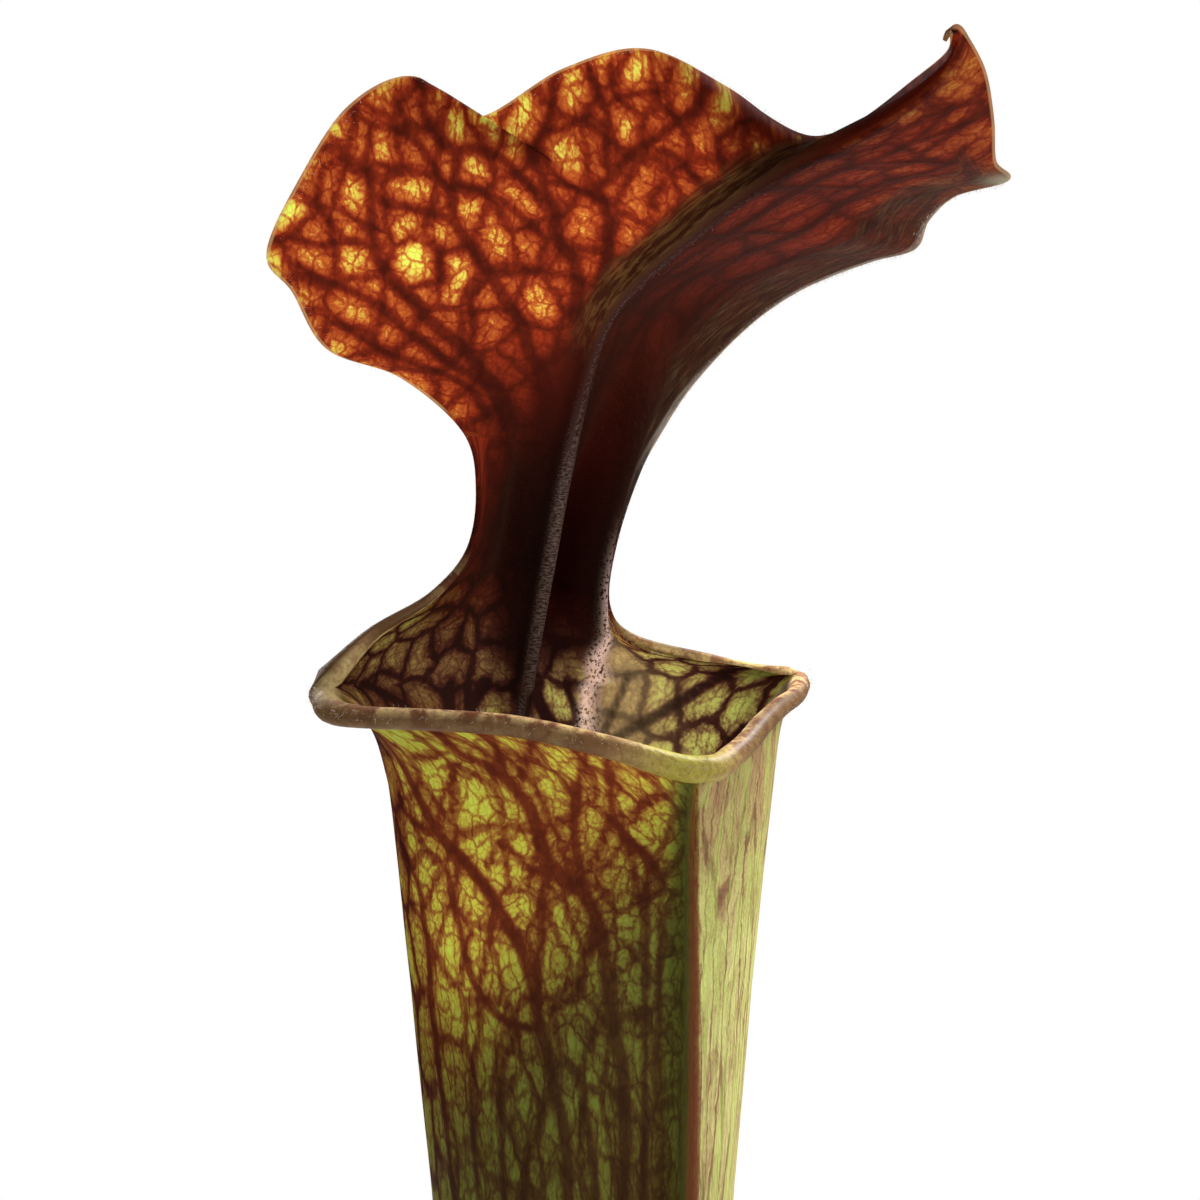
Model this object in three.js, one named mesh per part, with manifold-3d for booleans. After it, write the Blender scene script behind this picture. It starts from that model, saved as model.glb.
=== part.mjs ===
// A trumpet pitcher plant in a plain round pot: one tall hollow leaf with a rolled lip and a waved
// lid, the crown and roots that carry it, the growing mix round them and the pot.
// Millimetres, +Z up, origin on the floor at the middle of the pot. +Y is away from the viewer.
import * as THREE from 'three';
import { mergeVertices } from 'three/addons/utils/BufferGeometryUtils.js';
import Module from 'manifold-3d';

const wasm = await Module();
wasm.setup();

// ---------- driving dimensions ----------
const GAP = 0.3; // clearance between pieces that touch

const POT_HEIGHT = 100;
const POT_TOP_RADIUS = 60;
const POT_BASE_RADIUS = 44;
const POT_WALL = 3;
const POT_FLOOR = 4;
const POT_BAND_HEIGHT = 16; // the thicker band under the rim
const POT_BAND_OUT = 2.5;
const POT_EDGE = 1.5; // rounding of its edges
const POT_FILLET = 4; // rounding inside, where wall and floor meet
const POT_SIDES = 48;
const DRAIN_RADIUS = 5;
const DRAIN_RING_RADIUS = 26;
const DRAIN_COUNT = 4;

const SOIL_LEVEL = 87;
const SOIL_LUMP = 1.1; // how far the surface of the mix rises and falls
const SOIL_DISH = 2; // the mix is this much lower at the pot's wall
const SOIL_RINGS = 7;

const CROWN_TOP = 90;
const CROWN_LENGTH = 48;
const CROWN_WIDTH = 26;
const CROWN_THICKNESS = 19;
const CROWN_CUT = 2.5; // the top is flat by this much, where the leaf stands
const CROWN_KNOB = 0.06; // how far its sides swell and shrink, as a share
const ROOT_COUNT = 6;
const ROOT_RADIUS = 1.6;
const ROOT_REACHES = [34, 25.5]; // taken in turn round the crown
const ROOT_DEPTHS = [43.5, 52.5, 62];
const ROOT_START_RADIUS = 5;
const ROOT_START_DEPTH = 11.5;
const ROOT_FIRST_ANGLE = 0.35;
const ROOT_SWAY = 0.35;
const SCALE_COUNT = 7; // short dry leaf bases round the foot of the leaf
const SCALE_HEIGHTS = [9.75, 13, 11.5];
const SCALE_WIDTH = 6;
const SCALE_THICKNESS = 1.2;
const SCALE_RING_RADIUS = 10.4;
const SCALE_TAPER = 0.85; // share of its width that it loses towards the tip
const SCALE_LEAN = 2.5;
const SCALE_ROOT = 5; // depth of its root in the crown

const LEAF_FOOT_Z = CROWN_TOP + GAP;
const LEAF_WAIST_Z = [94, 98]; // rows of the short solid stalk between foot and floor
const LEAF_FLOOR_Z = 104; // the trap is hollow from here up
const RIM_Z = 380;
const FLOOR_DIP = 2; // the floor of the trap is rounded by this much
const HALF_WALL = 0.5;
const FRONT_AZIMUTH = THREE.MathUtils.degToRad(29); // the seam faces this far to the right of -Y
const FLARE_START_Z = 362; // the wall turns outwards to the lip above this
const FOLD_START_Z = 330; // the folds of the back wall begin here and run up the column
const FOLD_END = 0.6; // share of each half's mesh that the fold beside the midrib takes
const CREST_SHARE = 0.25; // height of the right fold's crest against the depth of the fold
const CREST_WIDTH = 0.12;
const MIDRIB_RISE = 0.7; // extra thickness of the midrib on the inner face
const MIDRIB_WIDTH = 1.6;
const KEEL_HALF_WIDTH = 0.6;
const KEEL_CREST = 1.15; // its middle stands out this much further than its sides
const KEEL_ROOT_HALF_WIDTH = 1.5;
const SEAM_SHARPNESS = THREE.MathUtils.degToRad(16);
const SEAM_SHARE = 0.86; // the soft section reaches this share of the way to the seam

// ---------- the leaf's guides ----------
// Half widths of the tube from its axis: height, to the front seam, to the left, right and back.
const TUBE_SECTIONS = [
  [90, 7.4, 6.8, 6.8, 6.6],
  [97, 6, 5.4, 5.4, 5.2],
  [110, 6, 5.2, 5.2, 5],
  [140, 8.6, 6.8, 6.8, 6.2],
  [180, 12, 8.8, 8.6, 7.8],
  [220, 16, 11.2, 10.8, 9.6],
  [260, 20.4, 13.8, 13.2, 11.6],
  [290, 23, 16.4, 15.2, 13.4],
  [320, 25.4, 19.2, 17.7, 15.2],
  [345, 26.4, 21.8, 20.4, 16.6],
  [362, 26.6, 23.8, 22.8, 17.2],
  [380, 26.8, 26.2, 25.6, 17.4],
];
// How far the keel stands out along the front seam: height, reach.
const KEEL = [
  [96, 0.3],
  [120, 3],
  [170, 5],
  [230, 4.6],
  [290, 2.4],
  [320, 1.8],
  [345, 1.4],
  [372, 0.8],
];
// The front of the mouth, from the right corner past the spout to the left corner.
const FRONT_RIM = [
  [28, 15.5, 381],
  [27, 8, 380],
  [24.5, -1, 379.3],
  [21.5, -10, 378],
  [18, -19, 376.2],
  [13.7, -25.6, 375.4],
  [4, -29.3, 378.5],
  [-7, -29.3, 380.9],
  [-17, -27.6, 381.5],
  [-25, -25, 381.6],
  [-28.9, -22, 382.2],
  [-29.9, -17.3, 383.2],
];
// Stations from the back of the mouth up the column and over the lid to its tip. The midrib first,
// then each half: its margin, its bulge away from the mouth, the depth of the fold beside the midrib
// and the share of the half that this fold takes.
const MIDRIB = [
  [-7.5, 13, 379],
  [-6.7, 12.8, 384],
  [-5.6, 12.4, 390],
  [-4.4, 12, 396.5],
  [-3, 11, 404.5],
  [-1.6, 9.6, 411.5],
  [-0.4, 8, 417],
  [0.6, 6.8, 421],
  [1.6, 5.6, 424.3],
  [2.8, 4.3, 427.2],
  [4.5, 2.8, 429.8],
  [6.9, 0.9, 432.4],
  [9.8, -1.2, 435],
  [13.2, -3.8, 437.8],
  [17, -7, 440.8],
  [21.2, -10.4, 443.6],
  [25.7, -14.2, 446.2],
  [30.6, -18, 448.5],
  [35.4, -22.2, 451],
  [39.6, -26, 453.8],
  [42.6, -29.2, 457],
  [43.6, -31, 459.9],
];
const LEFT_HALF = [
  [-29.9, -17.3, 383.2, 9, 2, 0.3],
  [-25.1, -8.5, 388.8, 6, 2.5, 0.4],
  [-18.4, -1.5, 393, 4, 3, 0.6],
  [-14, 4, 398.4, 2.5, 3, 0.8],
  [-12.9, 6, 406, 1, 3, 0.85],
  [-14.6, 5.5, 413.4, 0.5, 2.5, 0.75],
  [-22.3, 2, 420.4, 0, 2, 0.6],
  [-31, -3, 424, -1, 1.5, 0.6],
  [-35, -5.5, 431, -1.5, 1, 0.6],
  [-38, -6, 435.5, -2, 1, 0.6],
  [-34, -6, 444.4, -2, 1, 0.6],
  [-28, -4.5, 453.4, -2, 1, 0.6],
  [-20.4, -2, 457, -2, 0.5, 0.6],
  [-13, -0.5, 452, -2, 0.5, 0.6],
  [-2, -1, 458, -1.5, 0, 0.6],
  [8, -4, 460.2, -1, 0, 0.6],
  [17.8, -5, 455.6, 0, 0, 0.6],
  [27, -5, 449.5, 0.5, 0, 0.6],
  [33, -12, 450.7, 0.5, 0, 0.6],
  [39.4, -22, 455.4, 0.2, 0, 0.6],
  [42.6, -28, 458.2, 0, 0, 0.6],
  [42.6, -31, 460.2, 0, 0, 0.6],
];
const RIGHT_HALF = [
  [28, 15.5, 381, 6, 6, 0.27],
  [17.2, 19, 382.8, 4, 6.5, 0.38],
  [6.8, 18, 385.8, 2, 6.5, 0.7],
  [3.4, 16, 390.4, 0.5, 6.5, 0.86],
  [4.4, 15.6, 398.5, 0, 6, 0.86],
  [7.6, 15.6, 408, 0, 5, 0.82],
  [10.8, 17, 413.8, 0, 4, 0.74],
  [13.6, 19, 418, 0, 3, 0.66],
  [16.6, 21, 421.5, 0.5, 2, 0.6],
  [20, 22.6, 425, 1, 1.5, 0.6],
  [24, 23.5, 428.4, 1.5, 1, 0.6],
  [28.5, 23.2, 431.3, 2, 0.5, 0.6],
  [33.3, 21, 433.5, 2, 0.5, 0.6],
  [38, 18, 435.2, 2, 0, 0.6],
  [42.6, 12, 436.6, 2, 0, 0.6],
  [43.8, 7.5, 440, 1.5, 0, 0.6],
  [46.5, 0.5, 442.9, 1, 0, 0.6],
  [52, -7.3, 444.5, 0.5, 0, 0.6],
  [49.8, -12.5, 446.4, 0, 0, 0.6],
  [48.6, -20, 451, 0, 0, 0.6],
  [46.8, -27, 456, 0, 0, 0.6],
  [44.4, -30.6, 459.6, 0, 0, 0.6],
];
// Radius of the rolled edge: round the front rim from the right corner to the left, then along the
// first stations of each back edge, where the roll fades out.
const FRONT_ROLL = [1.5, 1.3, 1.4, 1.6, 1.8, 2, 1.7, 1.5, 1.5, 1.6, 1.9, 1.9];
const LEFT_EDGE_ROLL = [1.9, 1.3, 0.8, 0.6, HALF_WALL];
const RIGHT_EDGE_ROLL = [1.5, 1, 0.7, 0.6, HALF_WALL];
// Mesh steps over each half of the back, each half of the front, up the tube, over the lid and round
// the rolled edge; the tube's rows crowd towards the rim.
const LEAF_MESH = { left: 10, right: 10, front: 8, tube: 25, lid: 42, roll: 5 };
const ROW_CROWDING = 1.35;
const RIM_SAMPLE_COUNT = 200;

// ---------- small helpers ----------
const FORWARD = [Math.sin(FRONT_AZIMUTH), -Math.cos(FRONT_AZIMUTH), 0];
const LEFTWARD = [-Math.cos(FRONT_AZIMUTH), -Math.sin(FRONT_AZIMUTH), 0];
const dot = (a, b) => a[0] * b[0] + a[1] * b[1] + a[2] * b[2];
const mix = (a, b, share) => a + (b - a) * share;
const clamp01 = (value) => Math.min(Math.max(value, 0), 1);
// 0 to 1 in equal steps, both ends included, and whole numbers from 0.
const steps = (count) => Array.from({ length: count + 1 }, (_, i) => i / count);
const range = (count) => Array.from({ length: count }, (_, i) => i);

// Uniform Catmull-Rom curve through rows of numbers, t from 0 to 1, with reflected ends.
function spline(rows, t) {
  const last = rows.length - 1;
  const x = clamp01(t) * last;
  const i = Math.min(Math.floor(x), last - 1);
  const f = x - i;
  const b = rows[i];
  const c = rows[i + 1];
  const a = i > 0 ? rows[i - 1] : b.map((value, k) => 2 * value - c[k]);
  const d = i + 2 <= last ? rows[i + 2] : c.map((value, k) => 2 * value - b[k]);
  return b.map((_, k) => b[k] + 0.5 * f * (c[k] - a[k]
    + f * (2 * a[k] - 5 * b[k] + 4 * c[k] - d[k] + f * (3 * (b[k] - c[k]) + d[k] - a[k]))));
}

// The same curve read at a height, where the first number of each row is the height.
function splineAtHeight(rows, z) {
  const last = rows.length - 1;
  let i = 0;
  while (i < last - 1 && z > rows[i + 1][0]) i += 1;
  const f = clamp01((z - rows[i][0]) / (rows[i + 1][0] - rows[i][0]));
  return spline(rows, (i + f) / last);
}

function solidFromGeometry(geometry) {
  const bare = geometry.clone();
  bare.deleteAttribute('normal');
  bare.deleteAttribute('uv');
  const merged = mergeVertices(bare, 1e-4);
  return new wasm.Manifold(new wasm.Mesh({
    numProp: 3,
    vertProperties: new Float32Array(merged.attributes.position.array),
    triVerts: new Uint32Array(merged.index.array),
  }));
}

function geometryFromSolid(solid) {
  const mesh = solid.getMesh();
  const geometry = new THREE.BufferGeometry();
  const positions = new Float32Array(mesh.vertProperties);
  geometry.setAttribute('position', new THREE.BufferAttribute(positions, 3));
  geometry.setIndex(new THREE.BufferAttribute(new Uint32Array(mesh.triVerts), 1));
  geometry.computeVertexNormals();
  return geometry;
}

// Points that no triangle uses are left out.
function geometryFromPoints(points, triangles) {
  const used = [...new Set(triangles.flat())].sort((a, b) => a - b);
  const place = new Map(used.map((index, i) => [index, i]));
  const positions = used.flatMap((index) => points[index]);
  const geometry = new THREE.BufferGeometry();
  geometry.setAttribute('position', new THREE.Float32BufferAttribute(positions, 3));
  geometry.setIndex(triangles.flat().map((index) => place.get(index)));
  geometry.computeVertexNormals();
  return geometry;
}

// ---------- the leaf's middle surface ----------
// A round hollow: 0 at the midrib, deepest half way, 0 again from 1 outwards.
const hollow = (share) => (share < 1 ? 0.5 - 0.5 * Math.cos(2 * Math.PI * share) : 0);

// Column and lid: s runs from the mouth to the tip, u from the left margin (-1) by the midrib (0)
// to the right margin (1). The folds end at FOLD_END of u, where the right one has a raised crest;
// foldShare 0 leaves them out.
function lidPoint(s, u, foldShare = 1) {
  const rib = spline(MIDRIB, s);
  const [x, y, z, bulge, fold, foldReach] = spline(u < 0 ? LEFT_HALF : RIGHT_HALF, s);
  const share = Math.abs(u);
  const along = share < FOLD_END
    ? foldReach * share / FOLD_END
    : mix(foldReach, 1, (share - FOLD_END) / (1 - FOLD_END));
  const crest = u > 0 ? CREST_SHARE * Math.exp(-(((share - FOLD_END) / CREST_WIDTH) ** 2)) : 0;
  const dip = hollow(share / FOLD_END) - crest;
  const back = bulge * Math.sin(Math.PI * along) + foldShare * fold * dip;
  return [x, y, z].map((value, k) => mix(rib[k], value, along) - back * FORWARD[k]);
}

const polarAngle = (p) => Math.atan2(dot(p, LEFTWARD), dot(p, FORWARD));
const polarRadius = (p) => Math.hypot(p[0], p[1]);

// Plain section of the tube: an ellipse in front and one behind, drawn out to a seam in front.
function sectionRadius(z, angle) {
  const [, front, left, right, back] = splineAtHeight(TUBE_SECTIONS, z);
  const side = Math.sin(angle) > 0 ? left : right;
  const soft = SEAM_SHARE * front;
  const depth = Math.cos(angle) > 0 ? soft : back;
  const round = 1 / Math.hypot(Math.cos(angle) / depth, Math.sin(angle) / side);
  return round + (front - soft) * Math.exp(-Math.abs(angle) / SEAM_SHARPNESS);
}

// The front rim read at an angle round the tube's axis.
const RIM_SAMPLES = steps(RIM_SAMPLE_COUNT).map((along) => {
  const point = spline(FRONT_RIM, along);
  return { along, point, angle: polarAngle(point) };
});
function frontRim(angle) {
  const last = RIM_SAMPLES.length - 1;
  let i = 0;
  while (i < last - 1 && RIM_SAMPLES[i + 1].angle < angle) i += 1;
  const [from, to] = [RIM_SAMPLES[i], RIM_SAMPLES[i + 1]];
  const f = clamp01((angle - from.angle) / (to.angle - from.angle));
  return {
    point: from.point.map((value, k) => mix(value, to.point[k], f)),
    along: mix(from.along, to.along, f),
  };
}

// Shares across the back, from the left margin (-1) by the midrib (0) to the right one (1).
const acrossBack = (mesh) => [
  ...steps(mesh.left).map((share) => share - 1),
  ...steps(mesh.right).slice(1),
];

// Columns of the tube in order: the back from the left corner to the right one, then the front
// from the right corner past the keel to the left one. Each gives its angle at any section.
function tubeColumns(mesh) {
  const columns = acrossBack(mesh).map((u) => {
    const rim = lidPoint(0, u, 0);
    const folded = lidPoint(0, u, 1);
    const angle = polarAngle(rim);
    const fold = folded.map((value, k) => value - rim[k]);
    return { rim, fold, angleAt: () => angle, keel: 0 };
  });
  const side = (sign, corner) => steps(mesh.front).slice(1).map((share) => ({
    angleAt: (radius) => mix(sign * KEEL_ROOT_HALF_WIDTH / radius, corner, 1 - share),
    keel: 0,
  }));
  const leftCorner = polarAngle(FRONT_RIM.at(-1));
  const rightCorner = polarAngle(FRONT_RIM[0]);
  const front = [
    ...side(-1, rightCorner),
    { angleAt: (radius) => -KEEL_HALF_WIDTH / radius, keel: 1 },
    { angleAt: () => 0, keel: KEEL_CREST },
    { angleAt: (radius) => KEEL_HALF_WIDTH / radius, keel: 1 },
    ...side(1, leftCorner).reverse(),
  ];
  front.forEach((column) => {
    const { point, along } = frontRim(column.angleAt(polarRadius(frontRim(0).point)));
    column.rim = point;
    column.along = along;
    column.fold = [0, 0, 0];
  });
  return [...columns, ...front];
}

function tubePoint(column, z) {
  const radiusHere = splineAtHeight(TUBE_SECTIONS, z)[1];
  const angle = column.angleAt(radiusHere);
  const rimAngle = polarAngle(column.rim);
  const rise = clamp01((z - FLARE_START_Z) / (RIM_Z - FLARE_START_Z));
  const tilt = clamp01((z - FOLD_START_Z) / (RIM_Z - FOLD_START_Z)) ** 2;
  const flare = (polarRadius(column.rim) - sectionRadius(RIM_Z, rimAngle)) * rise ** 4;
  const turn = mix(angle, rimAngle, rise);
  const radius = sectionRadius(z, turn) + flare;
  const height = z + (column.rim[2] - RIM_Z) * tilt;
  return [0, 1, 2].map((k) => radius * (Math.cos(turn) * FORWARD[k] + Math.sin(turn) * LEFTWARD[k])
    + column.fold[k] * tilt + (k === 2 ? height : 0));
}

// ---------- the leaf as one closed thin shell ----------
function vertexNormals(points, quads) {
  const normals = points.map(() => new THREE.Vector3());
  const [p, q, r, s] = [0, 1, 2, 3].map(() => new THREE.Vector3());
  quads.forEach((quad) => {
    [p, q, r, s].forEach((corner, k) => corner.fromArray(points[quad[k]]));
    const normal = r.sub(p).cross(s.sub(q));
    quad.forEach((index) => normals[index].add(normal));
  });
  return normals.map((normal) => normal.normalize());
}

function pitcherGeometry(mesh) {
  const columns = tubeColumns(mesh);
  const width = columns.length;
  const backCount = mesh.left + mesh.right + 1;
  const rowHeights = [
    LEAF_FOOT_Z,
    ...LEAF_WAIST_Z,
    ...steps(mesh.tube).map((t) => mix(LEAF_FLOOR_Z, RIM_Z, 1 - (1 - t) ** ROW_CROWDING)),
  ];
  const topRow = rowHeights.length - 1;
  const floorRow = rowHeights.indexOf(LEAF_FLOOR_Z);
  const stations = steps(mesh.lid);
  const backShares = acrossBack(mesh);

  // Middle surface: rows of the tube, then rows of column and lid on top of its back columns.
  const points = rowHeights.flatMap((z) => columns.map((column) => tubePoint(column, z)));
  const lidStart = points.length;
  stations.slice(1).forEach((s) => backShares.forEach((u) => points.push(lidPoint(s, u))));
  const tubeAt = (row, column) => row * width + (column % width);
  const lidAt = (row, column) => {
    if (row === 0) return tubeAt(topRow, column);
    return lidStart + (row - 1) * backCount + column;
  };
  const quadsOf = (at, rows, count, firstRow = 0) => range(rows).flatMap((i) => {
    const row = firstRow + i;
    return range(count).map((j) => [at(row, j), at(row + 1, j), at(row + 1, j + 1), at(row, j + 1)]);
  });
  const stemQuads = quadsOf(tubeAt, floorRow, width);
  const trapQuads = [
    ...quadsOf(tubeAt, topRow - floorRow, width, floorRow),
    ...quadsOf(lidAt, mesh.lid, backCount - 1),
  ];
  const normals = vertexNormals(points, [...stemQuads, ...trapQuads]);
  const moved = (index, distance) => points[index].map(
    (value, k) => value + distance * normals[index].getComponent(k),
  );

  // Outer face with the keel, inner face with the raised midrib.
  const outer = points.map((_, index) => moved(index, HALF_WALL));
  const inner = points.map((_, index) => moved(index, -HALF_WALL));
  rowHeights.slice(0, topRow).forEach((z, row) => {
    const reach = splineAtHeight(KEEL, z)[1];
    columns.forEach((column, j) => {
      outer[tubeAt(row, j)] = moved(tubeAt(row, j), HALF_WALL + reach * column.keel);
    });
  });
  stations.slice(0, -1).forEach((s, row) => backShares.forEach((u, j) => {
    const rib = lidPoint(s, 0);
    const away = Math.hypot(...lidPoint(s, u).map((value, k) => value - rib[k]));
    const rise = MIDRIB_RISE * Math.exp(-((away / MIDRIB_WIDTH) ** 2));
    inner[lidAt(row, j)] = moved(lidAt(row, j), -HALF_WALL - rise);
  }));
  outer.slice(0, width).forEach((point) => { point[2] = LEAF_FOOT_Z; });

  // The free edge in order: front rim from right to left, up the left margin, across the tip and
  // down the right margin. Each vertex has the radius of its rolled edge.
  const rollAt = (rolls, t) => Math.max(spline(rolls.map((radius) => [radius]), t)[0], HALF_WALL);
  const edgeRoll = (rolls, s) => rollAt(rolls, s * (MIDRIB.length - 1) / (rolls.length - 1));
  const lastShare = backCount - 1;
  const edge = [
    ...columns.slice(backCount).map((column, i) => ({
      index: tubeAt(topRow, backCount + i),
      roll: rollAt(FRONT_ROLL, column.along),
    })),
    ...stations.map((s, row) => ({ index: lidAt(row, 0), roll: edgeRoll(LEFT_EDGE_ROLL, s) })),
    ...backShares.slice(1, -1).map((_, j) => ({ index: lidAt(mesh.lid, j + 1), roll: HALF_WALL })),
    ...stations.map((s, row) => ({
      index: lidAt(row, lastShare),
      roll: edgeRoll(RIGHT_EDGE_ROLL, s),
    })).reverse(),
  ];
  const vertices = [...outer, ...inner];
  const innerAt = (index) => points.length + index;
  const addVertex = (point) => vertices.push(point) - 1;
  const rings = edge.map(({ index, roll }, i) => {
    const before = new THREE.Vector3(...points[edge.at(i - 1).index]);
    const after = new THREE.Vector3(...points[edge[(i + 1) % edge.length].index]);
    const outwards = after.sub(before).cross(normals[index]).normalize();
    const sweep = 2 * Math.PI - Math.acos(1 - 2 * HALF_WALL / roll);
    const arc = steps(mesh.roll).map((t) => {
      const turn = t * sweep;
      const across = roll - HALF_WALL - roll * Math.cos(turn);
      const out = roll * Math.sin(turn);
      return moved(index, across).map((value, k) => value + out * outwards.getComponent(k));
    });
    vertices[index] = arc.at(-1);
    return [innerAt(index), ...arc.slice(1, -1).map(addVertex), index];
  });
  const rollQuads = rings.flatMap((ring, i) => {
    const next = rings[(i + 1) % rings.length];
    return ring.slice(1).map((_, k) => [ring[k], next[k], next[k + 1], ring[k + 1]]);
  });

  const split = ([a, b, c, d]) => [[a, b, c], [a, c, d]];
  const splitInner = (quad) => split(quad).map(([a, b, c]) => [innerAt(a), innerAt(c), innerAt(b)]);
  const footCentre = addVertex([0, 0, LEAF_FOOT_Z]);
  const floorCentre = addVertex([0, 0, LEAF_FLOOR_Z - FLOOR_DIP]);
  const fan = (centre, first, second) => columns.map((_, j) => [centre, first(j), second(j)]);
  const triangles = [
    ...[...stemQuads, ...trapQuads, ...rollQuads].flatMap(split),
    ...trapQuads.flatMap(splitInner),
    ...fan(footCentre, (j) => tubeAt(0, j), (j) => tubeAt(0, j + 1)),
    ...fan(floorCentre, (j) => innerAt(tubeAt(floorRow, j + 1)), (j) => innerAt(tubeAt(floorRow, j))),
  ];
  return geometryFromPoints(vertices, triangles);
}

// ---------- crown and roots ----------
// Position round the leaf's axis at a compass angle.
const onRing = (radius, angle, z) => [radius * Math.cos(angle), radius * Math.sin(angle), z];

// A flattened ball with slow swellings, cut flat on top.
function crownBody(grow) {
  const body = new THREE.SphereGeometry(1, 20, 12);
  const position = body.attributes.position;
  const middle = CROWN_TOP + CROWN_CUT - CROWN_THICKNESS / 2;
  for (let i = 0; i < position.count; i += 1) {
    const [x, y, z] = [position.getX(i), position.getY(i), position.getZ(i)];
    const knob = 1 + CROWN_KNOB * Math.sin(5 * x + 2 * z) * Math.cos(4 * y) * (1 - z * z);
    const height = middle + z * (CROWN_THICKNESS / 2 + grow);
    position.setXYZ(
      i,
      x * knob * (CROWN_LENGTH / 2 + grow),
      y * knob * (CROWN_WIDTH / 2 + grow),
      Math.min(height, CROWN_TOP + grow),
    );
  }
  return solidFromGeometry(body);
}

// A root leaves the underside of the crown, runs outwards and turns down.
function root(angle, reach, depth, grow) {
  const start = CROWN_TOP - ROOT_START_DEPTH;
  const bend = ROOT_SWAY * Math.sin(3 * angle);
  const path = new THREE.CatmullRomCurve3([
    onRing(ROOT_START_RADIUS, angle, start),
    onRing(0.55 * reach, angle + 0.4 * bend, start - 0.18 * depth),
    onRing(0.9 * reach, angle + bend, start - 0.5 * depth),
    onRing(reach, angle + 1.2 * bend, start - depth - grow),
  ].map((point) => new THREE.Vector3(...point)));
  const section = new THREE.Shape();
  section.absarc(0, 0, ROOT_RADIUS + grow, 0, 2 * Math.PI);
  const tube = new THREE.ExtrudeGeometry(section, { extrudePath: path, steps: 9, curveSegments: 3 });
  return solidFromGeometry(tube);
}

// A dry leaf base: a small curved blade, broad at its root and pointed, leaning a little outwards.
function scaleLeaf(angle, height, grow) {
  const rows = 4;
  const across = 4;
  const halfThickness = SCALE_THICKNESS / 2 + grow;
  const bladePoint = (side, up, share) => {
    const halfWidth = (SCALE_WIDTH / 2) * (1 - SCALE_TAPER * up ** 1.6) + grow;
    const turn = angle + (2 * share - 1) * halfWidth / SCALE_RING_RADIUS;
    const z = CROWN_TOP - SCALE_ROOT + up * (height + SCALE_ROOT + grow);
    return onRing(SCALE_RING_RADIUS + SCALE_LEAN * up * up + side, turn, z);
  };
  const points = [-halfThickness, halfThickness].flatMap(
    (side) => steps(rows).flatMap((up) => steps(across).map((share) => bladePoint(side, up, share))),
  );
  const layer = (rows + 1) * (across + 1);
  const at = (row, column) => row * (across + 1) + column;
  const faces = range(rows).flatMap((row) => range(across).flatMap((column) => {
    const [a, b] = [at(row, column), at(row, column + 1)];
    const [c, d] = [at(row + 1, column + 1), at(row + 1, column)];
    const outside = [[a, b, c], [a, c, d]].map((triangle) => triangle.map((index) => layer + index));
    return [...outside, [a, c, b], [a, d, c]];
  }));
  const rim = [
    ...range(across).map((k) => at(0, k)),
    ...range(rows).map((k) => at(k, across)),
    ...range(across).map((k) => at(rows, across - k)),
    ...range(rows).map((k) => at(rows - k, 0)),
  ];
  rim.forEach((from, i) => {
    const to = rim[(i + 1) % rim.length];
    faces.push([from, to, layer + to], [from, layer + to, layer + from]);
  });
  return solidFromGeometry(geometryFromPoints(points, faces));
}

// Body, roots and dry leaf bases as one solid; grow swells it all for the hole it leaves in the mix.
function rhizomeSolid(grow) {
  const roots = range(ROOT_COUNT).map((i) => root(
    ROOT_FIRST_ANGLE + (2 * Math.PI * i) / ROOT_COUNT,
    ROOT_REACHES[i % ROOT_REACHES.length],
    ROOT_DEPTHS[i % ROOT_DEPTHS.length],
    grow,
  ));
  const scales = range(SCALE_COUNT).map((i) => scaleLeaf(
    (2 * Math.PI * i) / SCALE_COUNT,
    SCALE_HEIGHTS[i % SCALE_HEIGHTS.length],
    grow,
  ));
  return [...roots, ...scales].reduce((solid, piece) => solid.add(piece), crownBody(grow));
}

// ---------- pot and growing mix ----------
const potOuter = (z) => mix(POT_BASE_RADIUS, POT_TOP_RADIUS - POT_BAND_OUT, z / POT_HEIGHT);
const potInner = (z) => potOuter(z) - POT_WALL;

function potSolid() {
  const bandBottom = POT_HEIGHT - POT_BAND_HEIGHT;
  const bandFoot = potOuter(bandBottom);
  const profile = [
    [0, 0],
    [POT_BASE_RADIUS - POT_EDGE, 0],
    [potOuter(POT_EDGE), POT_EDGE],
    [bandFoot, bandBottom],
    [bandFoot + POT_BAND_OUT, bandBottom + POT_EDGE],
    [POT_TOP_RADIUS, POT_HEIGHT - POT_EDGE],
    [POT_TOP_RADIUS - POT_EDGE, POT_HEIGHT],
    [potInner(POT_HEIGHT) + POT_EDGE, POT_HEIGHT],
    [potInner(POT_HEIGHT - POT_EDGE), POT_HEIGHT - POT_EDGE],
    [potInner(POT_FLOOR + POT_FILLET), POT_FLOOR + POT_FILLET],
    [potInner(POT_FLOOR) - POT_FILLET, POT_FLOOR],
    [0, POT_FLOOR],
  ].map(([x, z]) => new THREE.Vector2(x, z));
  const lathe = new THREE.LatheGeometry(profile, POT_SIDES).rotateX(Math.PI / 2);
  const holes = range(DRAIN_COUNT).map((i) => {
    const angle = (2 * Math.PI * (i + 0.5)) / DRAIN_COUNT;
    const drill = new THREE.CylinderGeometry(DRAIN_RADIUS, DRAIN_RADIUS, 3 * POT_FLOOR, 16);
    drill.rotateX(Math.PI / 2).translate(...onRing(DRAIN_RING_RADIUS, angle, POT_FLOOR / 2));
    return solidFromGeometry(drill);
  });
  return holes.reduce((solid, hole) => solid.subtract(hole), solidFromGeometry(lathe));
}

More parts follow.
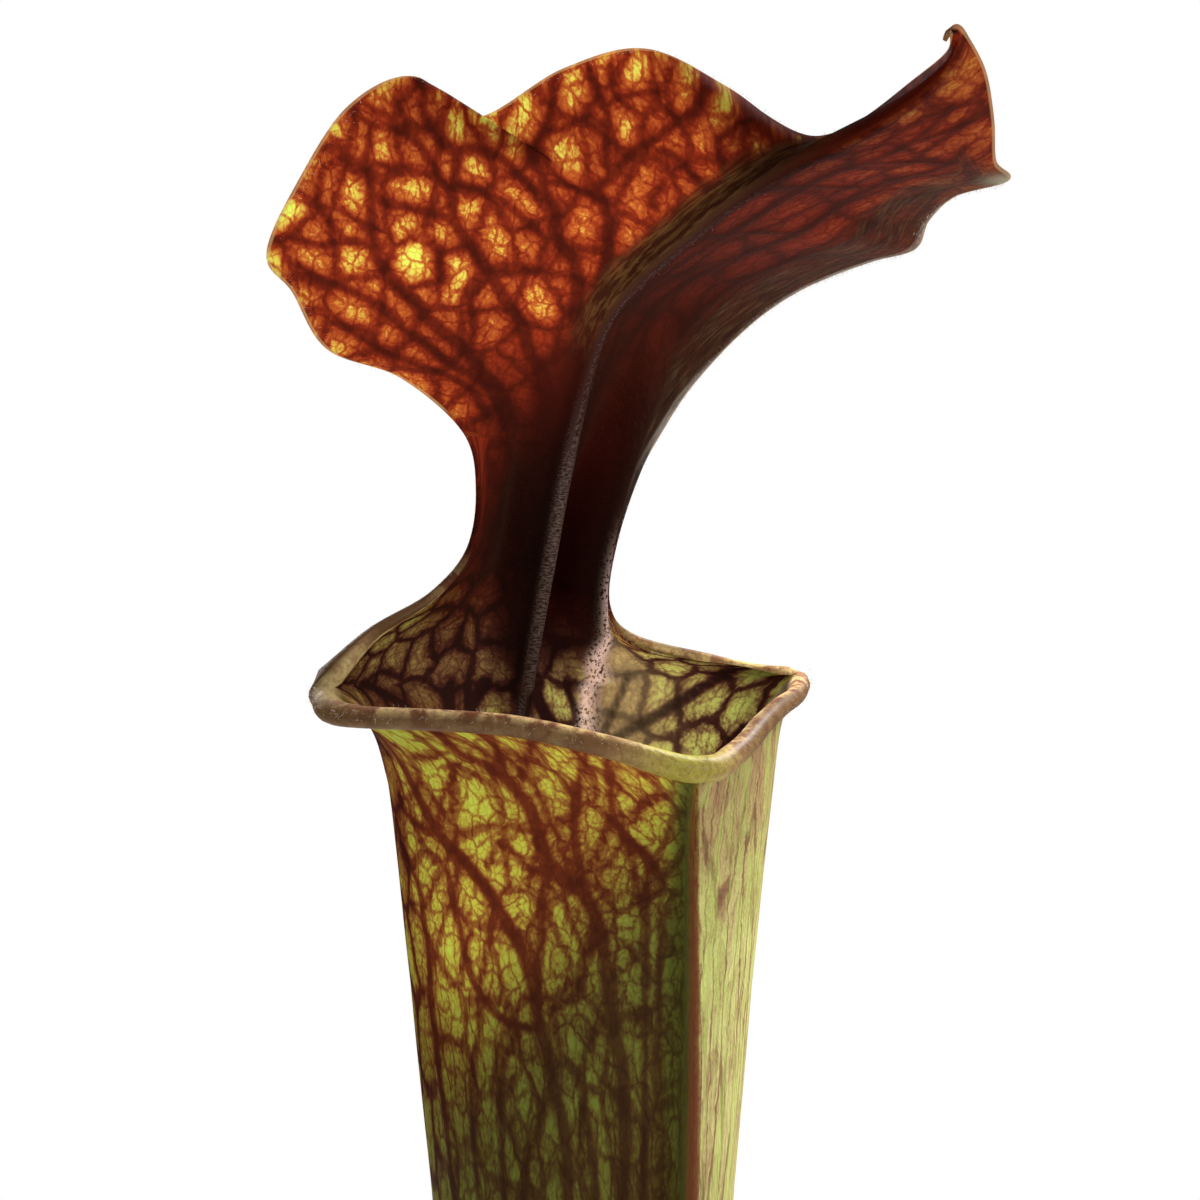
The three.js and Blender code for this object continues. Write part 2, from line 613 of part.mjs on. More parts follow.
// Height of the mix: a shallow dish with low lumps, made of long crossed waves and shorter slanted
// ones, which fade out at the wall.
function soilHeight(x, y) {
  const share = Math.hypot(x, y) / potInner(SOIL_LEVEL);
  const long = Math.sin(0.21 * x + 0.6) * Math.cos(0.26 * y);
  const short = 0.6 * Math.sin(0.47 * x - 0.39 * y + 1.3);
  return SOIL_LEVEL - SOIL_DISH * share ** 4 + SOIL_LUMP * (long + short) * (1 - share ** 6);
}

function soilSolid() {
  const bottom = POT_FLOOR + GAP;
  const topRadius = potInner(SOIL_LEVEL) - GAP;
  const rings = steps(SOIL_RINGS).reverse().map((share) => [topRadius * share, SOIL_LEVEL]);
  const profile = [
    [0, bottom],
    [potInner(POT_FLOOR) - POT_FILLET - GAP, bottom],
    [potInner(POT_FLOOR + POT_FILLET) - GAP, bottom + POT_FILLET],
    ...rings,
  ].map(([x, z]) => new THREE.Vector2(x, z));
  const body = new THREE.LatheGeometry(profile, POT_SIDES).rotateX(Math.PI / 2);
  const position = body.attributes.position;
  for (let i = 0; i < position.count; i += 1) {
    if (Math.abs(position.getZ(i) - SOIL_LEVEL) < 0.01) {
      position.setZ(i, soilHeight(position.getX(i), position.getY(i)));
    }
  }
  return solidFromGeometry(body).subtract(rhizomeSolid(GAP));
}

// ---------- the plant in its pot ----------
function piece(name, geometry, color, roughness) {
  const material = new THREE.MeshStandardMaterial({ color, roughness, metalness: 0 });
  const mesh = new THREE.Mesh(geometry, material);
  mesh.name = name;
  return mesh;
}

const plant = new THREE.Group();
plant.add(
  piece('pitcher', pitcherGeometry(LEAF_MESH), 0x8c8f38, 0.5),
  piece('rhizome', geometryFromSolid(rhizomeSolid(0)), 0x5b3424, 0.8),
  piece('soil', geometryFromSolid(soilSolid()), 0x3b2a1e, 0.95),
  piece('pot', geometryFromSolid(potSolid()), 0x9a5a3c, 0.7),
);

export default plant;
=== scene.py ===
"""A trumpet pitcher plant in a plain round pot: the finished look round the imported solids.

The leaf is worked out again from the guides of its solid, on finer grids, as two shells: the trap
with its rolled lip, and the hood. Lengths are millimetres until a mesh is made. +Y is away from
the viewer and the origin is on the floor at the middle of the pot.
"""
from types import SimpleNamespace

import bpy
import numpy as np
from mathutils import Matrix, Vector


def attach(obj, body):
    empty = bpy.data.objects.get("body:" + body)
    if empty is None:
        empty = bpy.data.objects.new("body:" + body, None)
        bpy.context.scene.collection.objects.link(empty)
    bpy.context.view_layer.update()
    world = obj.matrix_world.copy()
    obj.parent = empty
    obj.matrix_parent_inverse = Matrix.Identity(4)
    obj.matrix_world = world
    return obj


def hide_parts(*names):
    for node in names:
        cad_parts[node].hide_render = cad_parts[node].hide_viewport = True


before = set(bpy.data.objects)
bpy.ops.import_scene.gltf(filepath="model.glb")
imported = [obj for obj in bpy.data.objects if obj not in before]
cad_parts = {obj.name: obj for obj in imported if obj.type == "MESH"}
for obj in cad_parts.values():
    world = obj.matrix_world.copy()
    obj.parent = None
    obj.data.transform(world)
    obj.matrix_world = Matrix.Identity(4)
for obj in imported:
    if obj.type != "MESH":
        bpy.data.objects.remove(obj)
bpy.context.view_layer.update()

MM = 0.001
join = np.concatenate

# ---------- camera and light ----------
LENS_MM = 100.0
SENSOR_MM = 36.0
CAMERA_TILT = np.radians(5.0)  # the camera looks down by this much
CAMERA_DISTANCE = 417.0
CAMERA_TARGET = np.array([2.5, 0.0, 392.5])
FLOOR_RADIUS_M = 1.0  # the floor ends below the picture's lower edge
SKY_LIGHT = 0.22  # the surroundings light the plant by this share of how bright they look

# ---------- the leaf's guides, as in the solid ----------
LEAF_FOOT_Z = 90.3
LEAF_FLOOR_Z = 104.0
FLOOR_DIP = 2.0
RIM_Z = 380.0
HALF_WALL = 0.5
MARGIN_HALF_WALL = 0.27  # the hood thins out to this at its margin
FRONT_AZIMUTH = np.radians(29.0)
FLARE_START_Z = 362.0
FOLD_START_Z = 330.0
FOLD_END = 0.6
CREST_SHARE = 0.25
CREST_WIDTH = 0.12
MIDRIB_RISE = 0.7
MIDRIB_WIDTH = 1.2
KEEL_ROOT = 1.5  # half width of the keel where it leaves the wall
SEAM_SHARPNESS = np.radians(16.0)
SEAM_SHARE = 0.86
VEIN_RISE = 0.12
NECK_STATION = 3.0  # trap and hood part here, where the column is darkest

# Height, then half widths to the front seam, left, right and back.
TUBE_SECTIONS = np.array([
    [90, 7.4, 6.8, 6.8, 6.6], [97, 6, 5.4, 5.4, 5.2], [110, 6, 5.2, 5.2, 5], [140, 8.6, 6.8, 6.8, 6.2],
    [180, 12, 8.8, 8.6, 7.8], [220, 16, 11.2, 10.8, 9.6], [260, 20.4, 13.8, 13.2, 11.6],
    [290, 23, 16.4, 15.2, 13.4], [320, 25.4, 19.2, 17.7, 15.2], [345, 26.4, 21.8, 20.4, 16.6],
    [362, 26.6, 23.8, 22.8, 17.2], [380, 26.8, 26.2, 25.6, 17.4]])
# Height and reach of the keel.
KEEL = np.array([
    [90, 0], [96, 0.3], [120, 3], [170, 5], [230, 4.6], [290, 2.4], [320, 1.8], [345, 1.4], [372, 0.8],
    [380, 0]])
# Across the keel: distance from its middle as a share of its root, and share of its reach.
KEEL_PLACE = np.array([-1, -0.7, -0.5, -0.4, -0.25, 0, 0.25, 0.4, 0.5, 0.7, 1])
KEEL_SHARE = np.array([0, 0.12, 0.5, 0.9, 1.07, 1.15, 1.07, 0.9, 0.5, 0.12, 0])
# The front of the mouth, from the right corner past the spout to the left corner.
FRONT_RIM = np.array([
    [28, 15.5, 381], [27, 8, 380], [24.5, -1, 379.3], [21.5, -10, 378], [18, -19, 376.2],
    [13.7, -25.6, 375.4], [4, -29.3, 378.5], [-7, -29.3, 380.9], [-17, -27.6, 381.5],
    [-25, -25, 381.6], [-28.9, -22, 382.2], [-29.9, -17.3, 383.2]])
# Stations from the back of the mouth over the hood to its tip and the hook beyond it.
MIDRIB = np.array([
    [-7.5, 13, 379], [-6.7, 12.8, 384], [-5.6, 12.4, 390], [-4.4, 12, 396.5], [-3, 11, 404.5],
    [-1.6, 9.6, 411.5], [-0.4, 8, 417], [0.6, 6.8, 421], [1.6, 5.6, 424.3], [2.8, 4.3, 427.2],
    [4.5, 2.8, 429.8], [6.9, 0.9, 432.4], [9.8, -1.2, 435], [13.2, -3.8, 437.8], [17, -7, 440.8],
    [21.2, -10.4, 443.6], [25.7, -14.2, 446.2], [30.6, -18, 448.5], [35.4, -22.2, 451], [39.6, -26, 453.8],
    [42.6, -29.2, 457], [43.6, -31, 459.9], [42.7, -31.6, 460.4], [41.9, -31.4, 459.7]])
LAST_STATION = len(MIDRIB) - 1.0
# Each half: margin, bulge, depth of the fold beside the midrib and the share that it takes.
LEFT_HALF = np.array([
    [-29.9, -17.3, 383.2, 9, 2, 0.3], [-25.1, -8.5, 388.8, 6, 2.5, 0.4], [-18.4, -1.5, 393, 4, 3, 0.6],
    [-14, 4, 398.4, 2.5, 3, 0.8], [-12.9, 6, 406, 1, 3, 0.85], [-14.6, 5.5, 413.4, 0.5, 2.5, 0.75],
    [-22.3, 2, 420.4, 0, 2, 0.6], [-31, -3, 424, -1, 1.5, 0.6], [-35, -5.5, 431, -1.5, 1, 0.6],
    [-38, -6, 435.5, -2, 1, 0.6], [-34, -6, 444.4, -2, 1, 0.6], [-28, -4.5, 453.4, -2, 1, 0.6],
    [-20.4, -2, 457, -2, 0.5, 0.6], [-13, -0.5, 452, -2, 0.5, 0.6], [-2, -1, 458, -1.5, 0, 0.6],
    [8, -4, 460.2, -1, 0, 0.6], [17.8, -5, 455.6, 0, 0, 0.6], [27, -5, 449.5, 0.5, 0, 0.6],
    [33, -12, 450.7, 0.5, 0, 0.6], [39.4, -22, 455.4, 0.2, 0, 0.6], [42.6, -28, 458.2, 0, 0, 0.6],
    [42.6, -31, 460.2, 0, 0, 0.6], [42.2, -31.9, 460, 0, 0, 0.6], [41.8, -31.5, 459.3, 0, 0, 0.6]])
RIGHT_HALF = np.array([
    [28, 15.5, 381, 6, 6, 0.27], [17.2, 19, 382.8, 4, 6.5, 0.38], [6.8, 18, 385.8, 2, 6.5, 0.7],
    [3.4, 16, 390.4, 0.5, 6.5, 0.86], [4.4, 15.6, 398.5, 0, 6, 0.86], [7.6, 15.6, 408, 0, 5, 0.82],
    [10.8, 17, 413.8, 0, 4, 0.74], [13.6, 19, 418, 0, 3, 0.66], [16.6, 21, 421.5, 0.5, 2, 0.6],
    [20, 22.6, 425, 1, 1.5, 0.6], [24, 23.5, 428.4, 1.5, 1, 0.6], [28.5, 23.2, 431.3, 2, 0.5, 0.6],
    [33.3, 21, 433.5, 2, 0.5, 0.6], [38, 18, 435.2, 2, 0, 0.6], [42.6, 12, 436.6, 2, 0, 0.6],
    [43.8, 7.5, 440, 1.5, 0, 0.6], [46.5, 0.5, 442.9, 1, 0, 0.6], [52, -7.3, 444.5, 0.5, 0, 0.6],
    [49.8, -12.5, 446.4, 0, 0, 0.6], [48.6, -20, 451, 0, 0, 0.6], [46.8, -27, 456, 0, 0, 0.6],
    [44.4, -30.6, 459.6, 0, 0, 0.6], [43.2, -31.9, 460.8, 0, 0, 0.6], [42.1, -31.4, 460.2, 0, 0, 0.6]])
CURL_POINT = RIGHT_HALF[17, :3]  # the grey corner of the right half
# Radius of the rolled edge along the front rim, and over the first stations of each margin.
FRONT_ROLL = np.array([1.4, 1.2, 1.25, 1.35, 1.5, 1.65, 1.4, 1.3, 1.3, 1.35, 1.6, 1.7])
LEFT_EDGE_ROLL = np.array([1.7, 0.9, 0.6, HALF_WALL, HALF_WALL])
RIGHT_EDGE_ROLL = np.array([1.5, 0.8, 0.6, HALF_WALL, HALF_WALL])

# ---------- the leaf's main veins ----------
# Front wall: half widths at both ends, then (degrees round from the seam, height).
FRONT_VEINS = [
    (0.45, 0.8, [(64, 379), (60, 375.5), (53, 374), (46.5, 371.5), (42.5, 369), (40, 366), (37.5, 362.5)]),
    (0.8, 0.5, [(37.5, 362.5), (33.5, 361.5), (28, 360), (24, 357), (21.5, 352), (20, 346), (17, 340),
     (16, 334.5), (15.5, 327), (15, 312)]),
    (0.6, 0.75, [(84, 380), (82, 373.5), (78, 368.5), (72, 365), (66, 363), (58, 360), (53, 357),
     (48, 354)]),
    (0.75, 0.5, [(48, 354), (45, 351.5), (42.5, 348), (41, 344), (38.5, 340), (36.5, 336), (33, 330),
     (32, 318), (31, 300)]),
    (0.3, 0.45, [(50.5, 379.5), (49, 374), (46.5, 371.5)]),
    (0.3, 0.45, [(38, 380), (41, 377), (44.5, 373), (46.5, 371.5)]),
    (0.35, 0.5, [(27, 379), (28, 375.5), (30, 370), (30, 366), (29, 363.5), (28, 360)]),
    (0.35, 0.5, [(22, 378.5), (20.5, 374), (19.5, 370.5), (15.5, 367.5), (10.5, 365.8), (8, 364)]),
    (0.4, 0.4, [(19.5, 370.5), (22.5, 366.5), (26, 363), (30, 361.5)]),
    (0.25, 0.3, [(6, 375), (8, 374), (13.5, 371.8), (18, 370)]),
    (0.5, 0.35, [(24, 357), (26.5, 352), (29, 348), (32.5, 346.5), (38, 345)]),
    (0.3, 0.35, [(10, 365.5), (10, 357), (10.5, 345), (10, 330), (9.5, 312)]),
    (0.25, 0.3, [(6, 364), (6.5, 350), (6, 335), (5.5, 315)]),
    (0.45, 0.5, [(37.5, 362), (39.5, 358), (40, 353), (41.5, 347.5)]),
    (0.45, 0.45, [(66, 363), (66.5, 360.5), (68.5, 357), (66.5, 354), (64.5, 350), (61, 347), (56, 344.5),
     (47.5, 343), (41, 343.5)]),
    (0.35, 0.45, [(90, 368), (86, 366), (75, 365)]),
    (0.4, 0.4, [(92, 362), (84, 358), (83, 355), (82, 350), (83, 345), (82, 335), (80, 318)]),
    (0.35, 0.3, [(61, 347), (61.5, 342), (64.5, 338), (66.5, 331.5), (66, 315)]),
    (0.4, 0.35, [(47.5, 343), (50.5, 340), (53, 338), (55, 331), (54, 312)]),
    (0.4, 0.3, [(36.5, 336), (41, 331), (44.5, 328), (47, 322), (46, 308)]),
    (0.35, 0.3, [(20, 346), (24, 343), (27, 340), (28, 336), (26, 331), (24, 324), (24, 308)]),
    (0.3, 0.3, [(56, 362), (52, 364.5), (47, 363.5), (43, 362), (38, 362)]),
    (0.3, 0.3, [(72, 365), (70, 369), (65, 372), (61, 374.5)]),
    (0.3, 0.3, [(53, 357), (56, 354), (58, 351), (60, 347.5)]),
    (0.3, 0.25, [(15.5, 367.5), (12.5, 361), (11, 356), (14, 352), (19, 350)])]
# Hood: half widths at both ends, then (station, percent across).
HOOD_VEINS = [
    (0.9, 0.55, [(5.4, -41), (5.9, -43), (6.35, -43.5), (6.85, -45), (7.2, -46), (7.45, -50), (7.9, -58.5),
     (8.4, -60), (8.8, -63), (9.1, -67), (9.3, -71), (9.75, -76.5)]),
    (0.55, 0.3, [(9.75, -76.5), (10.25, -82.5), (10.45, -86.5), (10.65, -88.5), (10.9, -92), (10.95, -97)]),
    (0.95, 0.6, [(5.6, -13), (6.4, -15.5), (7, -17.5), (7.45, -21.5), (7.95, -23.5), (8.45, -25.5),
     (9, -30), (9.35, -34.5), (9.55, -38.5), (9.85, -45), (10, -50), (10.25, -57)]),
    (0.6, 0.3, [(10.25, -57), (10.45, -60), (10.75, -63), (10.95, -65), (11.2, -69), (11.2, -73.5),
     (11.35, -81), (11.55, -87), (11.85, -93), (12, -100)]),
    (0.55, 0.45, [(10.25, -57), (10.2, -64), (10.15, -71), (10.1, -75.5), (10.1, -79)]),
    (0.45, 0.3, [(10.5, -60), (10.65, -64), (10.85, -72), (11, -78), (11.02, -82), (11, -86), (10.9, -92)]),
    (0.35, 0.2, [(11.1, -84), (11.25, -87), (11.4, -93), (11.6, -97)]),
    (0.4, 0.35, [(10.6, -77.5), (10.5, -84), (10.45, -86.5)]),
    (0.35, 0.3, [(10.42, -87), (10.4, -92.5), (10.2, -96), (10, -94.5), (9.8, -93), (9.6, -86.5),
     (9.5, -83)]),
    (0.3, 0.5, [(9.25, -98.5), (9.3, -94.5), (9.3, -87), (9.45, -81), (9.5, -72)]),
    (0.85, 0.55, [(9, -9), (9.8, -12), (10.3, -15), (10.6, -19), (10.8, -25), (10.95, -30), (11.35, -33.5),
     (11.5, -39), (11.6, -43), (11.85, -48)]),
    (0.55, 0.3, [(11.85, -48), (12.1, -57), (12.7, -69), (13.35, -81), (13.6, -87), (13.8, -94),
     (13.85, -97)]),
    (0.45, 0.4, [(11.5, -38.5), (11.45, -47), (11.5, -52), (11.55, -56), (11.55, -60), (11.45, -66),
     (11.2, -69)]),
    (0.4, 0.45, [(10.75, -63), (10.85, -54), (10.9, -50), (10.9, -46), (10.87, -41), (10.8, -36),
     (10.75, -29)]),
    (0.4, 0.4, [(10.75, -29), (10.35, -28), (10.05, -26.5), (9.75, -33), (9.55, -38.5)]),
    (0.8, 0.5, [(10.6, -9), (11.2, -12), (11.6, -17), (12, -22), (12.55, -33), (12.95, -43), (13.25, -45),
     (13.4, -52)]),
    (0.5, 0.3, [(13.4, -52), (13.65, -60), (13.8, -65), (14, -74.5), (14.05, -82), (14.15, -90),
     (14.25, -96)]),
    (0.4, 0.35, [(13.35, -81), (13.45, -76), (13.7, -74), (13.8, -65)]),
    (0.45, 0.35, [(12.4, -33), (12.45, -38.5), (12.2, -39), (12, -42), (11.7, -45)]),
    (0.4, 0.3, [(13.95, -74), (14.2, -75), (14.55, -72), (14.8, -69)]),
    (0.35, 0.25, [(14.25, -76), (14.35, -87), (14.5, -95)]),
    (0.55, 0.3, [(13.25, -45), (13.75, -48), (14, -47.5), (14.35, -49.5), (14.6, -52), (14.65, -60),
     (14.8, -69), (15, -80), (15.1, -86)]),
    (0.4, 0.25, [(14.6, -52), (14.95, -54.5), (15.1, -60), (15.3, -69), (15.45, -76)]),
    (0.45, 0.4, [(14, -42), (14.1, -38.5), (14.15, -31), (14.15, -20)]),
    (0.5, 0.3, [(14.6, -5), (14.75, -20), (14.95, -33), (15.25, -37), (15.6, -45), (15.9, -52)]),
    (0.4, 0.4, [(13.65, -27), (13.3, -24), (13.2, -19)]),
    (0.4, 0.35, [(9.7, -56), (9.3, -52.5), (9.2, -52), (8.85, -60), (8.8, -63)]),
    (0.4, 0.45, [(9.55, -38.5), (9.2, -40), (8.7, -41.5), (7.9, -42), (7.3, -45), (6.85, -45)]),
    (0.3, 0.6, [(8.2, -78), (7.6, -68), (7.2, -60), (6.7, -53), (6, -50), (5.2, -47)]),
    (0.3, 0.55, [(7.6, -90), (7.15, -80), (6.8, -70), (6.2, -63), (5.4, -58)]),
    (0.35, 0.4, [(8.9, -92), (8.5, -85), (8, -72), (7.6, -68)]),
    (0.7, 0.4, [(8, 30), (9.5, 31), (11, 30), (13.5, 42), (15.5, 52), (17, 60), (18.2, 72)]),
    (0.6, 0.35, [(10, 10), (11.5, 12), (13, 15), (15.5, 22), (17.5, 30), (19, 40)]),
    (0.6, 0.35, [(9, 60), (11.5, 60), (13.5, 68), (15, 75), (16.2, 86)]),
    (0.45, 0.35, [(13, 2), (13.3, 13), (13.6, 25), (13.9, 45)]),
    (0.45, 0.35, [(15, 3), (15.3, 13), (15.5, 25), (15.8, 50)]),
    (0.4, 0.3, [(11.2, 12), (11.6, 20), (12.4, 34)]),
    (0.4, 0.3, [(16.6, 27), (17, 42), (17.3, 60)]),
    (0.4, 0.3, [(17.8, 32), (18.4, 50), (18.9, 75)])]
# Inner back wall: half widths at both ends, then (percent across, height).
BACK_VEINS = [
    (0.8, 0.6, [(30, 381), (42, 376), (55, 370), (68, 362), (80, 352)]),
    (0.6, 0.7, [(90, 381), (78, 376), (62, 371), (50, 363), (42, 350)]),
    (0.45, 0.5, [(97, 374), (86, 367), (72, 360), (60, 350)]),
    (0.4, 0.5, [(70, 381), (66, 376), (62, 371)]),
    (0.4, 0.4, [(50, 381), (56, 376), (60, 371)]),
    (0.8, 0.6, [(-22, 381), (-36, 377), (-50, 371), (-62, 362), (-70, 350)]),
    (0.6, 0.6, [(-88, 381), (-74, 377), (-60, 370), (-50, 362), (-42, 350)]),
    (0.45, 0.5, [(-55, 381), (-60, 377), (-66, 370), (-78, 362)]),
    (0.45, 0.4, [(-97, 375), (-85, 368), (-72, 362)]),
    (0.5, 0.5, [(-38, 381), (-42, 376), (-50, 371)])]

# Flat directions, out through the front seam and to the left of it.
FORWARD = np.array([np.sin(FRONT_AZIMUTH), -np.cos(FRONT_AZIMUTH), 0.0])
LEFTWARD = np.array([-np.cos(FRONT_AZIMUTH), -np.sin(FRONT_AZIMUTH), 0.0])


# ---------- curves ----------
def mix(a, b, share):
    """From a to b in a straight line."""
    return a + (b - a) * share


def smooth(low, high, value):
    """0 below low, 1 above high, an S curve between."""
    t = np.clip((value - low) / (high - low), 0, 1)
    return t * t * (3 - 2 * t)


def hump(distance, width):
    """A bell curve: 1 at distance 0, 1/e at the width."""
    return np.exp(-(distance / width) ** 2)


def laid(*masks):
    """Masks laid over one another: 1 less the product of what each of them leaves free."""
    free = 1.0
    for mask in masks:
        free = free * (1 - mask)
    return 1 - free


def norm(vectors):
    """Lengths of vectors."""
    return np.linalg.norm(vectors, axis=-1)


def unit(vectors):
    """Vectors divided by their lengths."""
    return vectors / np.maximum(norm(vectors)[..., None], 1e-9)


def running(steps, axis=0):
    """Running sum of steps along an axis, from 0."""
    return np.cumsum(np.insert(steps, 0, 0, axis), axis)


def between(x, known, rows):
    """Rows read in a straight line between the places where they are known."""
    return np.stack([np.interp(x, known, column) for column in rows.T], -1)


def curve(rows, x):
    """A smooth curve through rows, read at x counted in rows: from each row to the next, the cubic
    whose slope at a row is half the step between the row's neighbours. The ends are reflected."""
    rows = np.asarray(rows, float)
    if rows.ndim == 1:
        return curve(rows[:, None], x)[..., 0]
    last = len(rows) - 1
    x = np.clip(x, 0, last)
    i = np.minimum(x.astype(int), last - 1)
    f = (x - i)[..., None]
    ends = np.vstack([2 * rows[0] - rows[1], rows, 2 * rows[-1] - rows[-2]])
    a, b, c, d = (ends[i + k] for k in range(4))
    return b + 0.5 * f * (c - a + f * (2 * a - 5 * b + 4 * c - d + f * (3 * (b - c) + d - a)))


def curve_at(rows, z):
    """The same curve read at a height, where the first number of each row is the height."""
    i = np.clip(np.searchsorted(rows[:, 0], z) - 1, 0, len(rows) - 2)
    f = np.clip((z - rows[i, 0]) / (rows[i + 1, 0] - rows[i, 0]), 0, 1)
    return curve(rows, i + f)


# ---------- the leaf's middle surface ----------
def hood_point(station, u, fold_share=1.0):
    """Column and hood. Station runs from the mouth to the tip, u from the left margin (-1) by the
    midrib (0) to the right margin (1): a straight line from midrib to margin, bulged by a half
    sine, with one round fold beside the midrib and, on the right, a raised crest past it."""
    station, u = np.broadcast_arrays(np.asarray(station, float), np.asarray(u, float))
    rib = curve(MIDRIB, station)
    half = np.where((u < 0)[..., None], curve(LEFT_HALF, station), curve(RIGHT_HALF, station))
    share = np.abs(u)
    reach = half[..., 5]
    beyond = mix(reach, 1, (share - FOLD_END) / (1 - FOLD_END))
    along = np.where(share < FOLD_END, reach * share / FOLD_END, beyond)
    hollow = np.where(share < FOLD_END, 0.5 - 0.5 * np.cos(2 * np.pi * share / FOLD_END), 0)
    crest = np.where(u > 0, CREST_SHARE * hump(share - FOLD_END, CREST_WIDTH), 0)
    back = half[..., 3] * np.sin(np.pi * along) + fold_share * half[..., 4] * (hollow - crest)
    return mix(rib, half[..., :3], along[..., None]) - back[..., None] * FORWARD


def polar(points):
    """Angle round from the seam, to the left positive, and distance from the axis."""
    return np.arctan2(points @ LEFTWARD, points @ FORWARD), np.hypot(points[..., 0], points[..., 1])


def section_radius(z, angle):
    """A half ellipse in front and one behind, drawn out in front to a seam whose extra reach falls
    off as e to the minus angle over its sharpness."""
    row = curve_at(TUBE_SECTIONS, z)
    front, left, right, back = (row[..., k] for k in range(1, 5))
    side = np.where(np.sin(angle) > 0, left, right)
    soft = SEAM_SHARE * front
    depth = np.where(np.cos(angle) > 0, soft, back)
    round_part = 1 / np.hypot(np.cos(angle) / depth, np.sin(angle) / side)
    return round_part + (front - soft) * np.exp(-np.abs(angle) / SEAM_SHARPNESS)


RIM_PLACES = np.linspace(0, len(FRONT_RIM) - 1, 800)
RIM_SAMPLES = curve(FRONT_RIM, RIM_PLACES)
RIM_ANGLES = polar(RIM_SAMPLES)[0]


def front_rim(angle):
    """Point of the front rim at an angle round the axis, and its place along the rim's rows."""
    return between(angle, RIM_ANGLES, RIM_SAMPLES), np.interp(angle, RIM_ANGLES, RIM_PLACES)


def tube_point(z, angle, rim, fold):
    """A point of the tube: the section's radius at the angle, which turns out to the rim over the
    last stretch, while the folds of the column and the slant of the rim fade in from below."""
    rim_angle, rim_radius = polar(rim)
    rise = np.clip((z - FLARE_START_Z) / (RIM_Z - FLARE_START_Z), 0, 1)
    tilt = np.clip((z - FOLD_START_Z) / (RIM_Z - FOLD_START_Z), 0, 1) ** 2
    turn = mix(angle, rim_angle, rise)
    flare = (rim_radius - section_radius(np.full_like(rim_angle, RIM_Z), rim_angle)) * rise ** 4
    radius = section_radius(np.broadcast_to(z, turn.shape), turn) + flare
    flat = np.cos(turn)[..., None] * FORWARD + np.sin(turn)[..., None] * LEFTWARD
    point = radius[..., None] * flat + fold * tilt[..., None]
    point[..., 2] += z + (rim[..., 2] - RIM_Z) * tilt
    return point


def front_vein_point(degrees, z):
    """The front wall at degrees round from the seam and a height."""
    angle = np.radians(degrees)
    return tube_point(z, angle, front_rim(angle)[0], np.zeros(3))


def hood_vein_point(station, percent):
    """The hood at a station and a percentage across."""
    return hood_point(station, percent / 100)


def back_vein_point(percent, z):
    """The back wall at a percentage across and a height."""
    rim = hood_point(0, percent / 100, 0)
    return tube_point(z, polar(rim)[0], rim, hood_point(0, percent / 100) - rim)


# ---------- meshes ----------
def mesh_piece(name, points, quads, triangles=(), values=None, vectors=None, smooth_faces=True, sharp=None):
    """A mesh object from points in millimetres, faces as rows of indices, and named values and
    vectors for each point. Points that no face uses are left out, and an edge between two points
    marked as sharp is shaded sharp."""
    quads = np.asarray(quads, int).reshape(-1, 4)
    triangles = np.asarray(triangles, int).reshape(-1, 3)
    used, loops = np.unique(join([quads.ravel(), triangles.ravel()]), return_inverse=True)
    sizes = np.repeat([4, 3], [len(quads), len(triangles)]).astype(np.int32)
    mesh = bpy.data.meshes.new(name)
    mesh.vertices.add(len(used))
    mesh.vertices.foreach_set("co", (points[used].astype(np.float32) * MM).ravel())
    mesh.loops.add(len(loops))
    mesh.loops.foreach_set("vertex_index", loops.astype(np.int32))
    mesh.polygons.add(len(sizes))
    mesh.polygons.foreach_set("loop_start", running(sizes)[:-1].astype(np.int32))
    mesh.polygons.foreach_set("loop_total", sizes)
    mesh.update(calc_edges=True)
    mesh.validate()
    mesh.polygons.foreach_set("use_smooth", np.full(len(mesh.polygons), smooth_faces))
    if sharp is not None:
        ends = np.empty(2 * len(mesh.edges), np.int32)
        mesh.edges.foreach_get("vertices", ends)
        layer = mesh.attributes.new("sharp_edge", "BOOLEAN", "EDGE")
        layer.data.foreach_set("value", sharp[used][ends.reshape(-1, 2)].all(1))
    for kind, field, layers in (("FLOAT", "value", values), ("FLOAT_VECTOR", "vector", vectors)):
        for key, value in (layers or {}).items():
            layer = mesh.attributes.new(key, kind, "POINT")
            layer.data.foreach_set(field, value[used].astype(np.float32).ravel())
    piece = bpy.data.objects.new(name, mesh)
    bpy.context.collection.objects.link(piece)
    return piece


def dressed(piece, material, slot, *nodes):
    """Gives a piece its material, its place in the part and the nodes that it stands for."""
    piece.data.materials.append(material)
    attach(piece, "root")
    if nodes:
        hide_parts(*nodes)


def closed_ring(index, axis=-1):
    """A grid of point numbers whose first column is said again after its last."""
    return join([index, np.take(index, [0], axis)], axis)


def grid_quads(index):
    """Quads of a grid of point numbers, rows upwards and columns to the left seen from outside."""
    return np.stack([index[:-1, :-1], index[1:, :-1], index[1:, 1:], index[:-1, 1:]], -1).reshape(-1, 4)


def fan(centre, row):
    """Triangles from a centre to each pair of neighbours along a row of point numbers."""
    return np.stack([np.full(len(row) - 1, centre), row[:-1], row[1:]], -1)


def corner_normals(points):
    """At each point of a grid, the sum of its quads' normals: each is the cross product of the
    quad's diagonals, as long as twice its area."""
    normals = np.cross(points[1:, 1:] - points[:-1, :-1], points[:-1, 1:] - points[1:, :-1])
    total = np.zeros(points.shape)
    for rows in (slice(None, -1), slice(1, None)):
        for columns in (slice(None, -1), slice(1, None)):
            total[rows, columns] += normals
    return total


